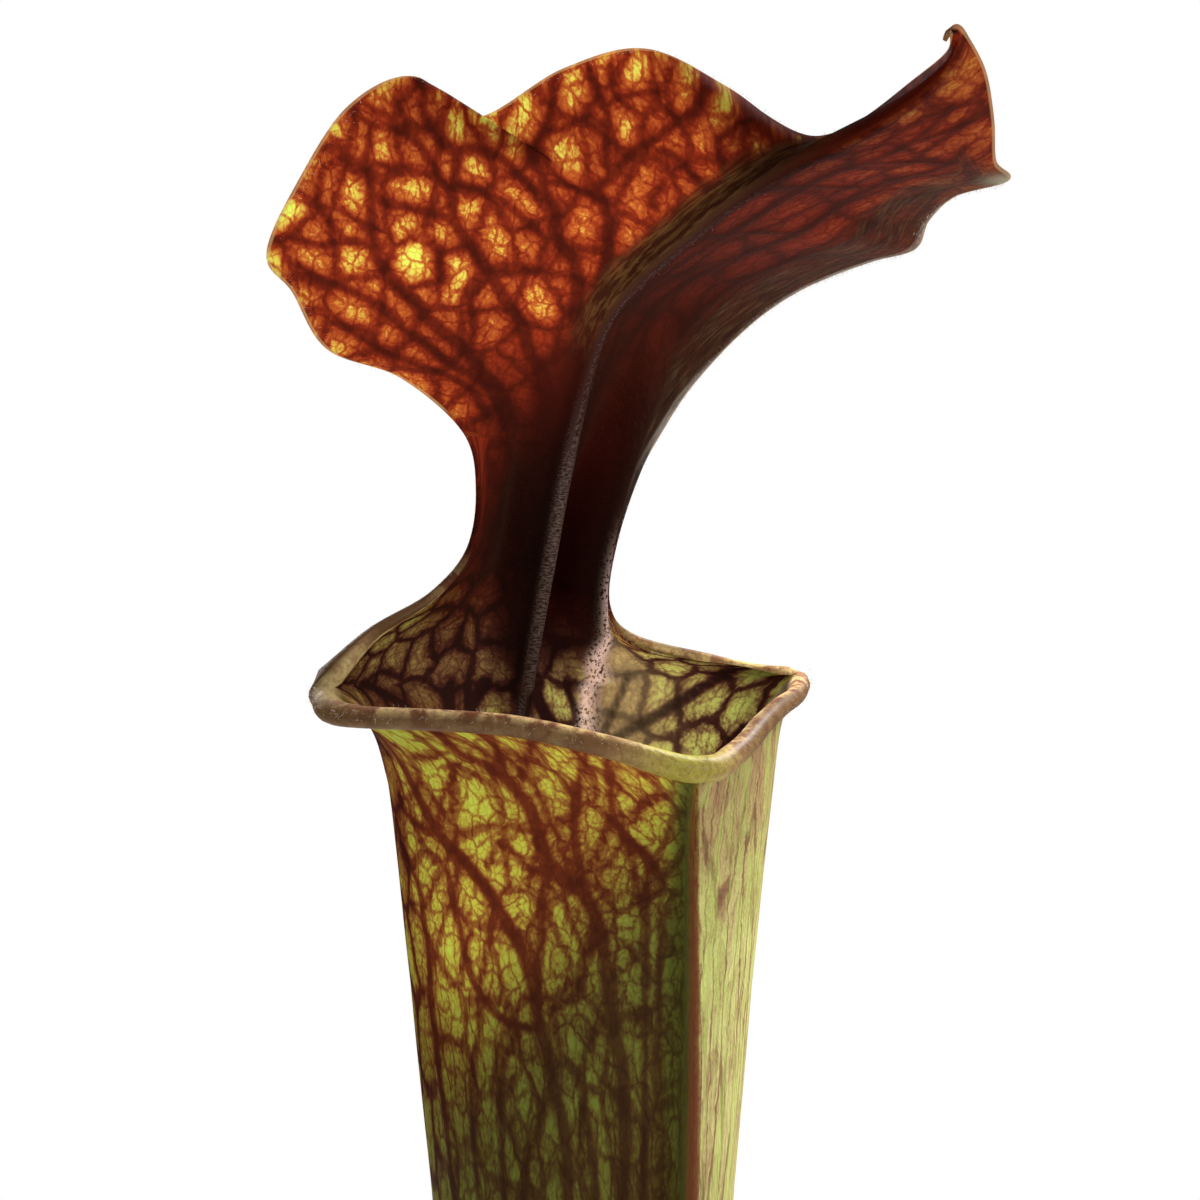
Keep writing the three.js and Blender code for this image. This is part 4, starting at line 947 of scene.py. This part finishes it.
def build_soil():
    """A plug that fills the pot, with rings close enough on top for its crumbs."""
    wall = POT_WALL + SOIL_GAP
    rings = np.linspace(pot_outer(SOIL_LEVEL) - wall, 0, 92)
    low = POT_FLOOR + SOIL_GAP
    radii = join([[0, pot_outer(POT_FLOOR) - POT_WALL - POT_FILLET,
                   pot_outer(POT_FLOOR + POT_FILLET) - wall], rings])
    heights = join([[low, low, low + POT_FILLET], np.full(len(rings), SOIL_LEVEL)])
    points, quads, fans = closed_lathe(radii, heights, 300)
    top = points[:, 2] == SOIL_LEVEL
    points[top, 2] = soil_height(points[top, 0], points[top, 1])
    return mesh_piece("soil_body", points, quads, fans)


def soil_places(draw, count, inside, outside):
    """Random places on the mix between two radii, with their heights."""
    radius = np.sqrt(draw.uniform(inside ** 2, outside ** 2, count))
    angle = draw.uniform(0, 2 * np.pi, count)
    x, y = radius * np.cos(angle), radius * np.sin(angle)
    return np.stack([x, y, soil_height(x, y)], -1)


def crown_body():
    """A ball drawn out to the crown's half sizes, swollen by a product of sines that fades at its
    poles and wrinkled along its own directions, then cut almost flat on top under the leaf."""
    turn = np.linspace(-np.pi / 2, np.pi / 2, 74)
    ball, quads, fans = closed_lathe(np.cos(turn), np.sin(turn), 120)
    x, y, z = ball.T
    knob = 1 + CROWN_KNOB * np.sin(5 * x + 2 * z) * np.cos(4 * y) * (1 - z * z)
    half = CROWN_SIZE / 2
    middle = CROWN_TOP + CROWN_CUT - half[2]
    body = np.stack([x * knob * half[0], y * knob * half[1], middle + z * half[2]], -1)
    body = body + 0.35 * (ripple(body, 5.0, 11) + 0.6 * ripple(body, 2.2, 12))[:, None] * unit(ball)
    body[:, 2] = np.minimum(body[:, 2], LEAF_FOOT_Z + 0.4 + 0.15 * ripple(body, 3.0, 13))
    return mesh_piece("crown_body", body, quads, fans)


def crown_roots():
    """Roots that leave the crown's underside, run outwards and turn down: rings across a curve
    through four stops, whose radius narrows by 30% and swells and thins with a sine of the place."""
    points, faces = [], []
    share, turn = np.linspace(0, 1, 40), circle(ROOT_SIDES)
    for i in range(ROOT_COUNT):
        angle = 0.35 + 2 * np.pi * i / ROOT_COUNT
        reach, depth, bend = ROOT_REACHES[i % 2], ROOT_DEPTHS[i % 3], 0.35 * np.sin(3 * angle)
        stops = [(5, angle, 0), (0.55 * reach, angle + 0.4 * bend, 0.18), (0.9 * reach, angle + bend, 0.5),
                 (reach, angle + 1.2 * bend, 1)]
        stops = [(r * np.cos(a), r * np.sin(a), ROOT_START - drop * depth) for r, a, drop in stops]
        path = curve(stops, 3 * share)
        ahead = unit(np.gradient(path, axis=0))
        across = unit(np.cross(ahead, [0.3, 0.2, 1.0]))
        up = np.cross(across, ahead)
        radius = ROOT_RADIUS * (1 - 0.3 * share) * (1 + 0.12 * np.sin(9 * path[:, 0] + 5 * path[:, 2]))
        radius[[0, -1]] = 0.05
        round_it = (np.cos(turn)[:, None] * across[:, None] + np.sin(turn)[:, None] * up[:, None])
        index = (i * len(share) * ROOT_SIDES + np.arange(len(share) * ROOT_SIDES)).reshape(-1, ROOT_SIDES)
        faces.append(grid_quads(closed_ring(index)))
        for cap in (index[0], index[-1][::-1]):
            faces.append(np.stack([np.full(5, cap[0]), cap[1:10:2], cap[2:11:2], cap[3:12:2]], -1))
        points.append((path[:, None] + radius[:, None, None] * round_it).reshape(-1, 3))
    return mesh_piece("crown_roots", join(points), join(faces))


def dry_leaf_bases():
    """Short dry blades in two rings round the leaf's foot. Each narrows with its height to the
    power 1.6, leans out with its square, is ribbed by a cosine across and ragged by a sine at the
    tip, and swells between its two faces as 1 less the square of the place across."""
    points, faces = [], []
    rows, columns = SCALE_GRID
    sheet = rows * columns
    up, across = np.meshgrid(np.linspace(0, 1, rows), np.linspace(-1, 1, columns), indexing="ij")
    bow = 1 - across ** 2
    for i in range(2 * SCALE_COUNT):
        second = i >= SCALE_COUNT
        angle = 2 * np.pi * (i + 0.5 * second) / SCALE_COUNT
        height = SCALE_HEIGHTS[i % 3] * (0.72 if second else 1)
        ragged = 1 + 0.10 * np.sin(9 * across + 2.3 * i) * up ** 6
        half_width = (3.0 if second else 3.1) * (1 - 0.85 * up ** 1.6)
        middle = (8.6 if second else 10.4) + 2.5 * up ** 2
        turn = angle + across * half_width / middle
        z = CROWN_TOP - SCALE_ROOT + up * ragged * (height + SCALE_ROOT)
        bent = middle + 0.12 * np.cos(5.5 * np.pi * across) * (1 - up) + 0.5 * bow * np.sin(3 * up + i)
        for face in (-1, 1):
            radius = bent + face * (0.15 + 0.45 * bow * (1 - 0.8 * up))
            points.append(np.stack([radius * np.cos(turn), radius * np.sin(turn), z], -1).reshape(-1, 3))
        inner = 2 * i * sheet + np.arange(sheet).reshape(rows, columns)
        loop = join([inner[0, :-1], inner[:-1, -1], inner[-1, :0:-1], inner[:0:-1, 0]])
        following = np.roll(loop, -1)
        faces += [grid_quads(inner), grid_quads(inner + sheet)[:, ::-1],
                  np.stack([loop, following, following + sheet, loop + sheet], -1)]
    return mesh_piece("dry_leaf_bases", join(points), join(faces))


# ---------- materials ----------
class Value:
    """A number that runs through a node tree, with plain arithmetic. a | b lays one mask over
    another: 1 - (1 - a)(1 - b)."""

    def __init__(self, nodes, socket):
        self.nodes, self.socket = nodes, socket

    def __add__(self, other):
        return self.nodes.math("ADD", self, other)

    def __sub__(self, other):
        return self.nodes.math("SUBTRACT", self, other)

    def __rsub__(self, other):
        return self.nodes.math("SUBTRACT", other, self)

    def __mul__(self, other):
        return self.nodes.math("MULTIPLY", self, other)

    def __or__(self, other):
        return 1 - (1 - self) * (1 - other)

    __radd__, __rmul__ = __add__, __mul__

    def clamped(self):
        """The same number kept between 0 and 1."""
        self.socket.node.use_clamp = True
        return self


class Nodes:
    """Short hand for building a node tree."""

    def __init__(self, tree):
        self.tree = tree

    def add(self, kind, inputs=None, **settings):
        """A node with its settings, then its inputs."""
        node = self.tree.nodes.new(kind)
        for key, value in settings.items():
            setattr(node, key, value)
        for key, value in (inputs or {}).items():
            self.feed(node.inputs[key], value)
        return node

    def feed(self, socket, value):
        """Links a socket to a value of the tree, or sets it to a number or colour."""
        value = value.socket if isinstance(value, Value) else value
        if isinstance(value, bpy.types.NodeSocket):
            self.tree.links.new(value, socket)
        elif socket.type == "RGBA":
            socket.default_value = (*value[:3], 1)
        else:
            socket.default_value = value

    def value(self, name):
        """The piece's own number of that name at each point."""
        return Value(self, self.add("ShaderNodeAttribute", attribute_name=name).outputs["Fac"])

    def vector(self, name):
        """The piece's own vector of that name at each point."""
        return self.add("ShaderNodeAttribute", attribute_name=name).outputs["Vector"]

    def math(self, operation, a, b=0.0):
        """One step of arithmetic."""
        node = self.add("ShaderNodeMath", {0: a, 1: b}, operation=operation)
        return Value(self, node.outputs[0])

    def largest(self, first, *others):
        """The largest of some values."""
        for other in others:
            first = self.math("MAXIMUM", first, other)
        return first

    def ramp(self, value, low, high, start=0.0, end=1.0):
        """An S curve from one number to another between two limits."""
        node = self.add("ShaderNodeMapRange", {
            "Value": value, "From Min": low, "From Max": high, "To Min": start, "To Max": end},
            interpolation_type="SMOOTHSTEP")
        return Value(self, node.outputs["Result"])

    def move(self, operation, a, b):
        """One step of arithmetic with vectors or colours."""
        return self.add("ShaderNodeVectorMath", {0: a, 3 if operation == "SCALE" else 1: b},
                        operation=operation).outputs[0]

    def noise(self, vector, scale, detail=2.0, roughness=0.5):
        """Smooth noise as a number (Fac) and as a colour."""
        return self.add("ShaderNodeTexNoise", {
            "Vector": vector, "Scale": scale, "Detail": detail, "Roughness": roughness}).outputs

    def grain(self, *settings):
        """The number of the same noise."""
        return Value(self, self.noise(*settings)["Fac"])

    def colour_ramp(self, value, stops):
        """Colours in a straight line between stops of (value, colour)."""
        node = self.add("ShaderNodeValToRGB", {"Fac": value})
        elements = node.color_ramp.elements
        while len(elements) < len(stops):
            elements.new(0.5)
        for element, (place, colour) in zip(elements, stops):
            element.position = place
            element.color = (*colour, 1)
        return node.outputs["Color"]

    def blend(self, share, a, b):
        """Colour a where the share is 0, b where it is 1."""
        return self.add("ShaderNodeMix", {"Factor": share, 6: a, 7: b}, data_type="RGBA").outputs[2]

    def layers(self, colour, *masks_and_colours):
        """Colours laid over a first one, each through its mask."""
        for mask, over in masks_and_colours:
            colour = self.blend(mask, colour, over)
        return colour

    def power(self, colour, exponent):
        """Each channel of a colour to a power."""
        parts = self.add("ShaderNodeSeparateColor", {"Color": colour}).outputs
        raised = {key: self.math("POWER", parts[key], exponent) for key in ("Red", "Green", "Blue")}
        return self.add("ShaderNodeCombineColor", raised).outputs["Color"]


def net_group():
    """One order of veins: the borders of cells of a size, in millimetres, and a number for each cell."""
    tree = bpy.data.node_groups.new("Vein net", "ShaderNodeTree")
    for way, key, kind, value in (
            ("INPUT", "Vector", "Vector", None), ("INPUT", "Cell", "Float", 5.0),
            ("INPUT", "Width", "Float", 0.3), ("INPUT", "Soft", "Float", 0.4),
            ("OUTPUT", "Line", "Float", None), ("OUTPUT", "Shade", "Float", None)):
        socket = tree.interface.new_socket(key, in_out=way, socket_type="NodeSocket" + kind)
        if value is not None:
            socket.default_value = value
    given, result = tree.nodes.new("NodeGroupInput").outputs, tree.nodes.new("NodeGroupOutput").inputs
    n = Nodes(tree)
    cell, width = Value(n, given["Cell"]), Value(n, given["Width"])
    border, cells = (
        n.add("ShaderNodeTexVoronoi", {
            "Vector": given["Vector"], "Scale": n.math("DIVIDE", 1.0, cell), "Randomness": 0.85},
            voronoi_dimensions="2D", feature=feature).outputs
        for feature in ("DISTANCE_TO_EDGE", "F1"))
    n.feed(result["Line"], n.ramp(cell * border["Distance"], width, width + given["Soft"], 1.0, 0.0))
    shade = n.add("ShaderNodeSeparateColor", {"Color": cells["Color"]})
    n.feed(result["Shade"], shade.outputs["Red"])
    return tree


# Colours that are thrown back, by pigment from 0 in a clear window to 1 in a vein; the strip's go by
# its strands.
WINDOW_TO_VEIN = [
    (0.0, (0.37, 0.43, 0.08)), (0.3, (0.27, 0.20, 0.035)), (0.55, (0.13, 0.038, 0.012)),
    (0.8, (0.055, 0.010, 0.006)), (1.0, (0.024, 0.0095, 0.0055))]
# The lower tube's tones: its own olive and brown, darkened in part as painted shade lower down.
LOW_TONES_WITH_SHADE = [
    (0.0, (0.125, 0.155, 0.020)), (0.3, (0.088, 0.082, 0.016)), (0.6, (0.058, 0.036, 0.010)),
    (1.0, (0.026, 0.008, 0.005))]
PANEL_TONES = [
    (0.0, (0.54, 0.52, 0.20)), (0.3, (0.40, 0.33, 0.13)), (0.6, (0.25, 0.14, 0.07)),
    (1.0, (0.08, 0.03, 0.02))]
STRIP_TONES = [(0.35, (0.020, 0.008, 0.004)), (0.52, (0.045, 0.020, 0.010)), (0.7, (0.11, 0.072, 0.030))]
# Colours that are let through, by pigment.
THROUGH_HOOD = [
    (0.0, (0.60, 0.82, 0.11)), (0.25, (0.62, 0.47, 0.070)), (0.5, (0.42, 0.088, 0.017)),
    (0.75, (0.21, 0.021, 0.007)), (1.0, (0.028, 0.003, 0.002))]
THROUGH_TRAP = [
    (0.0, (0.64, 0.78, 0.10)), (0.25, (0.62, 0.61, 0.07)), (0.5, (0.42, 0.21, 0.040)),
    (0.75, (0.22, 0.046, 0.015)), (1.0, (0.07, 0.010, 0.006))]
THROUGH_WALL = [
    (0.0, (0.62, 0.72, 0.16)), (0.25, (0.50, 0.46, 0.12)), (0.5, (0.22, 0.13, 0.05)),
    (0.75, (0.065, 0.022, 0.014)), (1.0, (0.02, 0.006, 0.005))]
THROUGH_FAR_SKIN = (0.93, 0.92, 0.84)  # a wall's colour is laid on once, by the face that is seen
WHITE = (1.0, 1.0, 1.0)
# The masks that the leaf's points carry.
LEAF_FIELDS = (
    "vein", "flush", "front", "inside", "outside", "low", "right", "hood", "rib", "crest", "blush", "strip",
    "ridge", "curl", "far", "shade", "dense", "downy", "keel", "lip", "dark", "grey", "under", "edge")
NET = net_group()


def new_material(name):
    """A material with an empty node tree, and the short hand for it."""
    material = bpy.data.materials.new(name)
    material.use_nodes = True
    material.node_tree.nodes.clear()
    return material, Nodes(material.node_tree)


def leaf_material():
    """Pigment from 0 in a clear window to 1 in a vein sets the colour that the face throws back and
    the one that it lets through; masks then lay the midrib, the crest, the lip, the margin, the
    keel and the downy outer strips over it. Some of these colours are painted light: a shadow
    beside the keel, shade under the lip, low on the tube, on the upper left of the back wall and
    atop the right panel, and in part the sheen on the midrib and the highlight on the crest."""
    material, n = new_material("Pitcher leaf")
    at = SimpleNamespace(**{name: n.value(name) for name in LEAF_FIELDS})
    where = n.add("ShaderNodeTexCoord").outputs["Object"]
    net = place = n.vector("net")
    for scale, reach in ((0.25, 2.2), (1.1, 0.9)):
        drift = n.move("SUBTRACT", n.noise(net, scale)["Color"], (0.5, 0.5, 0.5))
        place = n.move("ADD", place, n.move("SCALE", drift, reach))
    tall = n.move("MULTIPLY", place, (1.0, 0.12, 1.0))

    def order(vector, cell, width, soft):
        """The lines of one order of veins, and its cells' numbers."""
        node = n.add("ShaderNodeGroup", node_tree=NET)
        for key, value in (("Vector", vector), ("Cell", cell), ("Width", width), ("Soft", soft)):
            n.feed(node.inputs[key], value)
        return Value(n, node.outputs["Line"]), Value(n, node.outputs["Shade"])

    large, large_cell = order(place, 5.6, 0.12, 0.6)
    middle, middle_cell = order(place, 2.1, 0.02, 0.36)
    fine, _ = order(place, 0.95, 0.0, 0.22)
    broad, _ = order(place, 5.6, 0.0, 1.9)
    main = n.ramp(at.vein, -0.35, 0.55, 1.0, 0.0)
    halo = n.ramp(at.vein, 0.0, 2.8, 1.0, 0.0)
    grain, mottle = n.grain(net, 2.4, 2.0, 0.7), n.grain(net, 0.55, 3.0)
    right = at.right * n.ramp(at.outside, 0.3, 0.6)
    outer_side = n.ramp(at.outside, 0.55, 0.95)
    trap_like = n.largest(at.front, at.inside)

    windows = (large_cell * 0.28 - 0.13 + middle_cell * 0.16 + (middle_cell - 0.35) * at.low * 0.22
               + (mottle - 0.5) * 0.5 + (grain - 0.5) * 0.8)
    base = at.flush * (1 - outer_side * (1 - at.front) * 0.35)
    flush = (windows * (1 - base) + base).clamped()
    soft = (broad * 0.46 | halo * 0.40) * (1 - trap_like * 0.42) * (1 - at.low * 0.75)
    lines = large * 0.42 | (middle * 0.36 | fine * 0.22) * (1 - at.inside * 0.55) | main * 0.70
    veins = (soft | lines) * (1 - n.largest(right * 0.88, at.low * 0.12))
    pigment = ((veins | flush) + at.inside * veins * 0.3).clamped()

    through = n.layers(
        n.colour_ramp(pigment, THROUGH_HOOD),
        (trap_like, n.colour_ramp(pigment, THROUGH_TRAP)),
        (at.inside * (1 - at.front), n.colour_ramp(pigment, THROUGH_WALL)))
    far_skin = n.math("ABSOLUTE", at.outside - at.front)
    through = n.move("MULTIPLY", n.power(through, 1 - far_skin), n.blend(far_skin, WHITE, THROUGH_FAR_SKIN))

    streak = n.grain(n.move("MULTIPLY", net, (1.0, 0.08, 1.0)), 1.6, 2.0, 0.6)
    rays = order(tall, 2.6, 0.06, 0.16)[0] * 0.75 | order(tall, 1.2, 0.0, 0.16)[0] * 0.35
    tint = (streak * 0.30 + pigment * 0.75 - 0.12).clamped() | rays * 0.8
    patches = n.ramp(n.grain(tall, 0.5, 3.0, 0.6), 0.42, 0.6)
    panel = n.blend(patches * 0.45, n.colour_ramp(tint, PANEL_TONES), (0.36, 0.46, 0.10))
    strands = n.grain(n.vector("strand"), 1.9, 3.0, 0.65)
    ridge, ridge_lines = at.ridge * 0.85, n.ramp(strands, 0.42, 0.62)
    flecks_at = n.grain(net, 4.5, 2.0, 0.7)
    specks = n.ramp(flecks_at, 0.52, 0.72, 0.0, 0.16) * n.ramp(at.flush, 0.85, 1.0)
    # the midrib's grey-brown fuzz with flecks, partly a painted sheen
    rib = at.rib * n.ramp(flecks_at, 0.42, 0.60, 0.12, 1.0)
    blush = at.blush * (0.8 - veins * 0.8)
    # the crest's pale speckle, partly a painted highlight
    crest = at.crest * n.ramp(n.grain(where, 2400, 2.0, 0.6), 0.36, 0.50)
    margin = n.ramp(at.edge, 0.02, 0.3, 0.5, 0.0)
    through = n.layers(
        through,
        (ridge, n.blend(ridge_lines, (0.06, 0.018, 0.008), (0.18, 0.085, 0.025))),
        (at.curl, (0.35, 0.30, 0.2)),
        (blush * 0.6, (0.72, 0.54, 0.26)),
        (crest * 0.9, (0.90, 0.68, 0.58)),
        (margin, (0.7, 0.45, 0.2)))

    clear_of_grey = 1 - at.grey * 0.8
    blotches = n.ramp(n.grain(where, 300, 4.0, 0.7), 0.42, 0.58)
    lip_colour = n.layers(
        (0.42, 0.38, 0.045),
        ((at.dark * 1.0).clamped(), (0.88, 0.60, 0.26)),
        (at.grey * 0.85, (0.34, 0.28, 0.12)),
        ((blotches * at.dark).clamped() * clear_of_grey, (0.27, 0.095, 0.045)),
        (n.ramp(n.grain(where, 1300, 3.0, 0.7), 0.45, 0.65) * 0.4, (0.14, 0.05, 0.03)),
        # painted shade under the lip's roll, in dark brown
        ((at.under * (at.dark * 0.52 + 0.40)).clamped(), (0.10, 0.048, 0.018)))
    face = n.layers(
        n.colour_ramp(pigment, WINDOW_TO_VEIN),
        (right, panel),
        (at.strip * 0.7, n.colour_ramp(strands, STRIP_TONES)),
        (ridge, n.blend(ridge_lines, (0.035, 0.016, 0.008), (0.105, 0.068, 0.030))),
        (at.curl, (0.33, 0.31, 0.22)),
        (specks, (0.16, 0.09, 0.06)),
        (rib, (0.17, 0.115, 0.095)),
        (blush, (0.44, 0.33, 0.17)),
        (crest, (0.88, 0.64, 0.56)),
        ((at.downy * n.ramp(strands, 0.3, 0.6, 0.35, 0.95)).clamped(), (0.36, 0.31, 0.26)),
        # in part painted shade: darker tones low on the tube, not on the right panel
        (at.low * (0.8 - right * 0.8), n.colour_ramp(pigment, LOW_TONES_WITH_SHADE)),
        # painted shadow beside the keel, in dark green
        (at.shade * 0.85, (0.055, 0.062, 0.014)),
        (n.ramp(at.keel, 0.25, 0.7) * 0.85, (0.16, 0.045, 0.02)),
        (at.lip, lip_colour),
        (outer_side * at.hood * 0.3,
         n.blend(n.grain(net, 3.0, 2.0, 0.8), (0.10, 0.045, 0.022), (0.20, 0.13, 0.065))),
        (margin, (0.42, 0.27, 0.16)))

    bump = n.add("ShaderNodeBump", {"Strength": 0.5, "Distance": 0.0003, "Height": lines * 0.7 + grain * 0.3})
    surface = n.add("ShaderNodeBsdfPrincipled", {
        "Base Color": face, "Roughness": n.ramp(grain, 0.2, 0.8, 0.45, 0.7), "Specular IOR Level": 0.02,
        "Coat Weight": n.largest(at.lip * (0.16 - at.grey * 0.16), rib * 0.12), "Coat Roughness": 0.4,
        "Normal": bump.outputs["Normal"]})
    glow = n.add("ShaderNodeBsdfTranslucent", {"Color": through})
    thick = n.largest(at.lip, right * 0.85, at.dense * 0.65, at.strip * 0.62, at.shade * 0.9, at.low * 0.78,
                      at.far * 0.3)
    both = n.add("ShaderNodeMixShader", {0: 0.72 - thick * 0.70, 1: surface.outputs[0], 2: glow.outputs[0]})
    n.add("ShaderNodeOutputMaterial", {"Surface": both.outputs[0]})
    return material


def plain_material(name, low, high, scale, roughness):
    """A dull surface whose colour drifts between two tones."""
    material, n = new_material(name)
    drift = n.grain(n.add("ShaderNodeTexCoord").outputs["Object"], scale, 6.0, 0.6)
    bump = n.add("ShaderNodeBump", {"Strength": 0.4, "Distance": 0.0006, "Height": drift})
    surface = n.add("ShaderNodeBsdfPrincipled", {
        "Base Color": n.blend(n.ramp(drift, 0.35, 0.65), low, high), "Roughness": roughness,
        "Normal": bump.outputs["Normal"]})
    n.add("ShaderNodeOutputMaterial", {"Surface": surface.outputs[0]})
    return material


# ---------- camera, floor and light ----------
def set_camera():
    """A long lens level with the mouth, tilted a little down."""
    data = bpy.data.cameras.new("camera")
    data.lens = LENS_MM
    data.sensor_width = SENSOR_MM
    data.clip_end = 100
    camera = bpy.data.objects.new("camera", data)
    bpy.context.collection.objects.link(camera)
    back = np.array([0, -np.cos(CAMERA_TILT), np.sin(CAMERA_TILT)])
    camera.location = (CAMERA_TARGET + CAMERA_DISTANCE * back) * MM
    camera.rotation_euler = (np.pi / 2 - CAMERA_TILT, 0, 0)
    bpy.context.scene.camera = camera


def area_light(name, place, aim, size, watts):
    """A square soft light at a place, in metres, that faces a point."""
    data = bpy.data.lights.new(name, "AREA")
    data.shape = "SQUARE"
    data.size = size
    data.energy = watts
    light = bpy.data.objects.new(name, data)
    bpy.context.collection.objects.link(light)
    light.location = place
    light.rotation_euler = (Vector(aim) - Vector(place)).to_track_quat("-Z", "Y").to_euler()
    light.visible_camera = False


def set_studio():
    """A pale round floor, a white surround that looks brighter than it lights, and four soft lights."""
    sides = 96
    angle = circle(sides)
    ring = FLOOR_RADIUS_M / MM * np.stack([np.cos(angle), np.sin(angle), 0 * angle], -1)
    floor = mesh_piece("floor", join([ring, [[0, 0, 0]]]), (), fan(sides, closed_ring(np.arange(sides))))
    material, n = new_material("Pale floor")
    surface = n.add("ShaderNodeBsdfPrincipled", {"Base Color": (0.93, 0.93, 0.93), "Roughness": 0.9})
    n.add("ShaderNodeOutputMaterial", {"Surface": surface.outputs[0]})
    floor.data.materials.append(material)

    world = bpy.data.worlds.new("studio")
    bpy.context.scene.world = world
    world.use_nodes = True
    world.node_tree.nodes.clear()
    n = Nodes(world.node_tree)
    seen = Value(n, n.add("ShaderNodeLightPath").outputs["Is Camera Ray"])
    sky = n.add("ShaderNodeBackground", {"Color": WHITE, "Strength": seen * (1 - SKY_LIGHT) + SKY_LIGHT})
    n.add("ShaderNodeOutputWorld", {"Surface": sky.outputs[0]})

    leaf = (0.0, 0.0, 0.42)
    area_light("key", (0.46, 0.50, 1.02), leaf, 0.35, 20)
    area_light("back", (-0.42, 0.66, 0.72), leaf, 0.4, 8)
    area_light("side", (0.80, -0.42, 0.60), leaf, 0.3, 6)
    area_light("fill", (-0.55, -0.8, 0.75), leaf, 0.6, 1.6)
    bpy.context.scene.view_settings.view_transform = "Standard"


set_camera()
set_studio()

LEAF = leaf_material()
trap_leaf, hood_leaf = build_leaf()
dressed(trap_leaf, LEAF, "leaf", "pitcher")
dressed(hood_leaf, LEAF, "leaf")

DOWN = plain_material("Leaf down", (0.50, 0.43, 0.36), (0.66, 0.58, 0.50), 300, 0.7)
CROWN = plain_material("Crown", (0.05, 0.02, 0.012), (0.16, 0.08, 0.05), 160, 0.8)
DRY = plain_material("Dry leaf base", (0.14, 0.08, 0.045), (0.34, 0.22, 0.12), 240, 0.75)
MIX = plain_material("Growing mix", (0.018, 0.011, 0.008), (0.075, 0.048, 0.032), 220, 0.95)
PERLITE = plain_material("Perlite", (0.60, 0.58, 0.53), (0.78, 0.77, 0.74), 500, 0.9)
CRUMB = plain_material("Peat crumb", (0.030, 0.017, 0.011), (0.12, 0.075, 0.045), 300, 0.95)
MOSS = plain_material("Moss", (0.07, 0.12, 0.02), (0.22, 0.28, 0.06), 120, 0.7)
POT = plain_material("Moulded pot", (0.30, 0.115, 0.06), (0.38, 0.155, 0.085), 60, 0.6)

dressed(build_down(), DOWN, "leaf")
dressed(crown_body(), CROWN, "crown", "rhizome")
dressed(crown_roots(), CROWN, "crown")
dressed(dry_leaf_bases(), DRY, "crown")
dressed(build_soil(), MIX, "growing_mix", "soil")
dressed(build_pot(), POT, "pot", "pot")

# ---------- what lies and grows on the mix ----------
GRAINS = 330
CRUMBS = 2600
TUFTS = 90
STEMS = 42  # in each tuft
TUFT_SPREAD = 2.2
MOSS_RADIUS = 51.5

draw = np.random.default_rng(20)
grains = soil_places(draw, GRAINS, 8, 51)
dressed(scatter("perlite", lump_shape(4, 7), grains, draw.uniform(0.5, 1.6, (GRAINS, 3)),
                turned(draw, GRAINS, 1.5), 0.16), PERLITE, "growing_mix")
crumbs = soil_places(draw, CRUMBS, 4, 52)
dressed(scatter("peat_crumbs", lump_shape(2, 5), crumbs, draw.uniform(0.3, 1.1, (CRUMBS, 3)),
                turned(draw, CRUMBS, 1.5), 0.2), CRUMB, "growing_mix")
tufts = soil_places(draw, TUFTS, 14, 50)
stems = np.repeat(tufts, STEMS, 0)
stems += draw.normal(size=(TUFTS * STEMS, 3)) * np.array([TUFT_SPREAD, TUFT_SPREAD, 0])
stems = stems[np.hypot(stems[:, 0], stems[:, 1]) < MOSS_RADIUS]
stems[:, 2] = soil_height(stems[:, 0], stems[:, 1]) - 0.3
height = draw.uniform(2.0, 5.0, len(stems))[:, None]
dressed(scatter("moss", spike_shape(), stems, height * np.array([0.2, 0.24, 1]),
                turned(draw, len(stems), 0.5)), MOSS, "growing_mix")
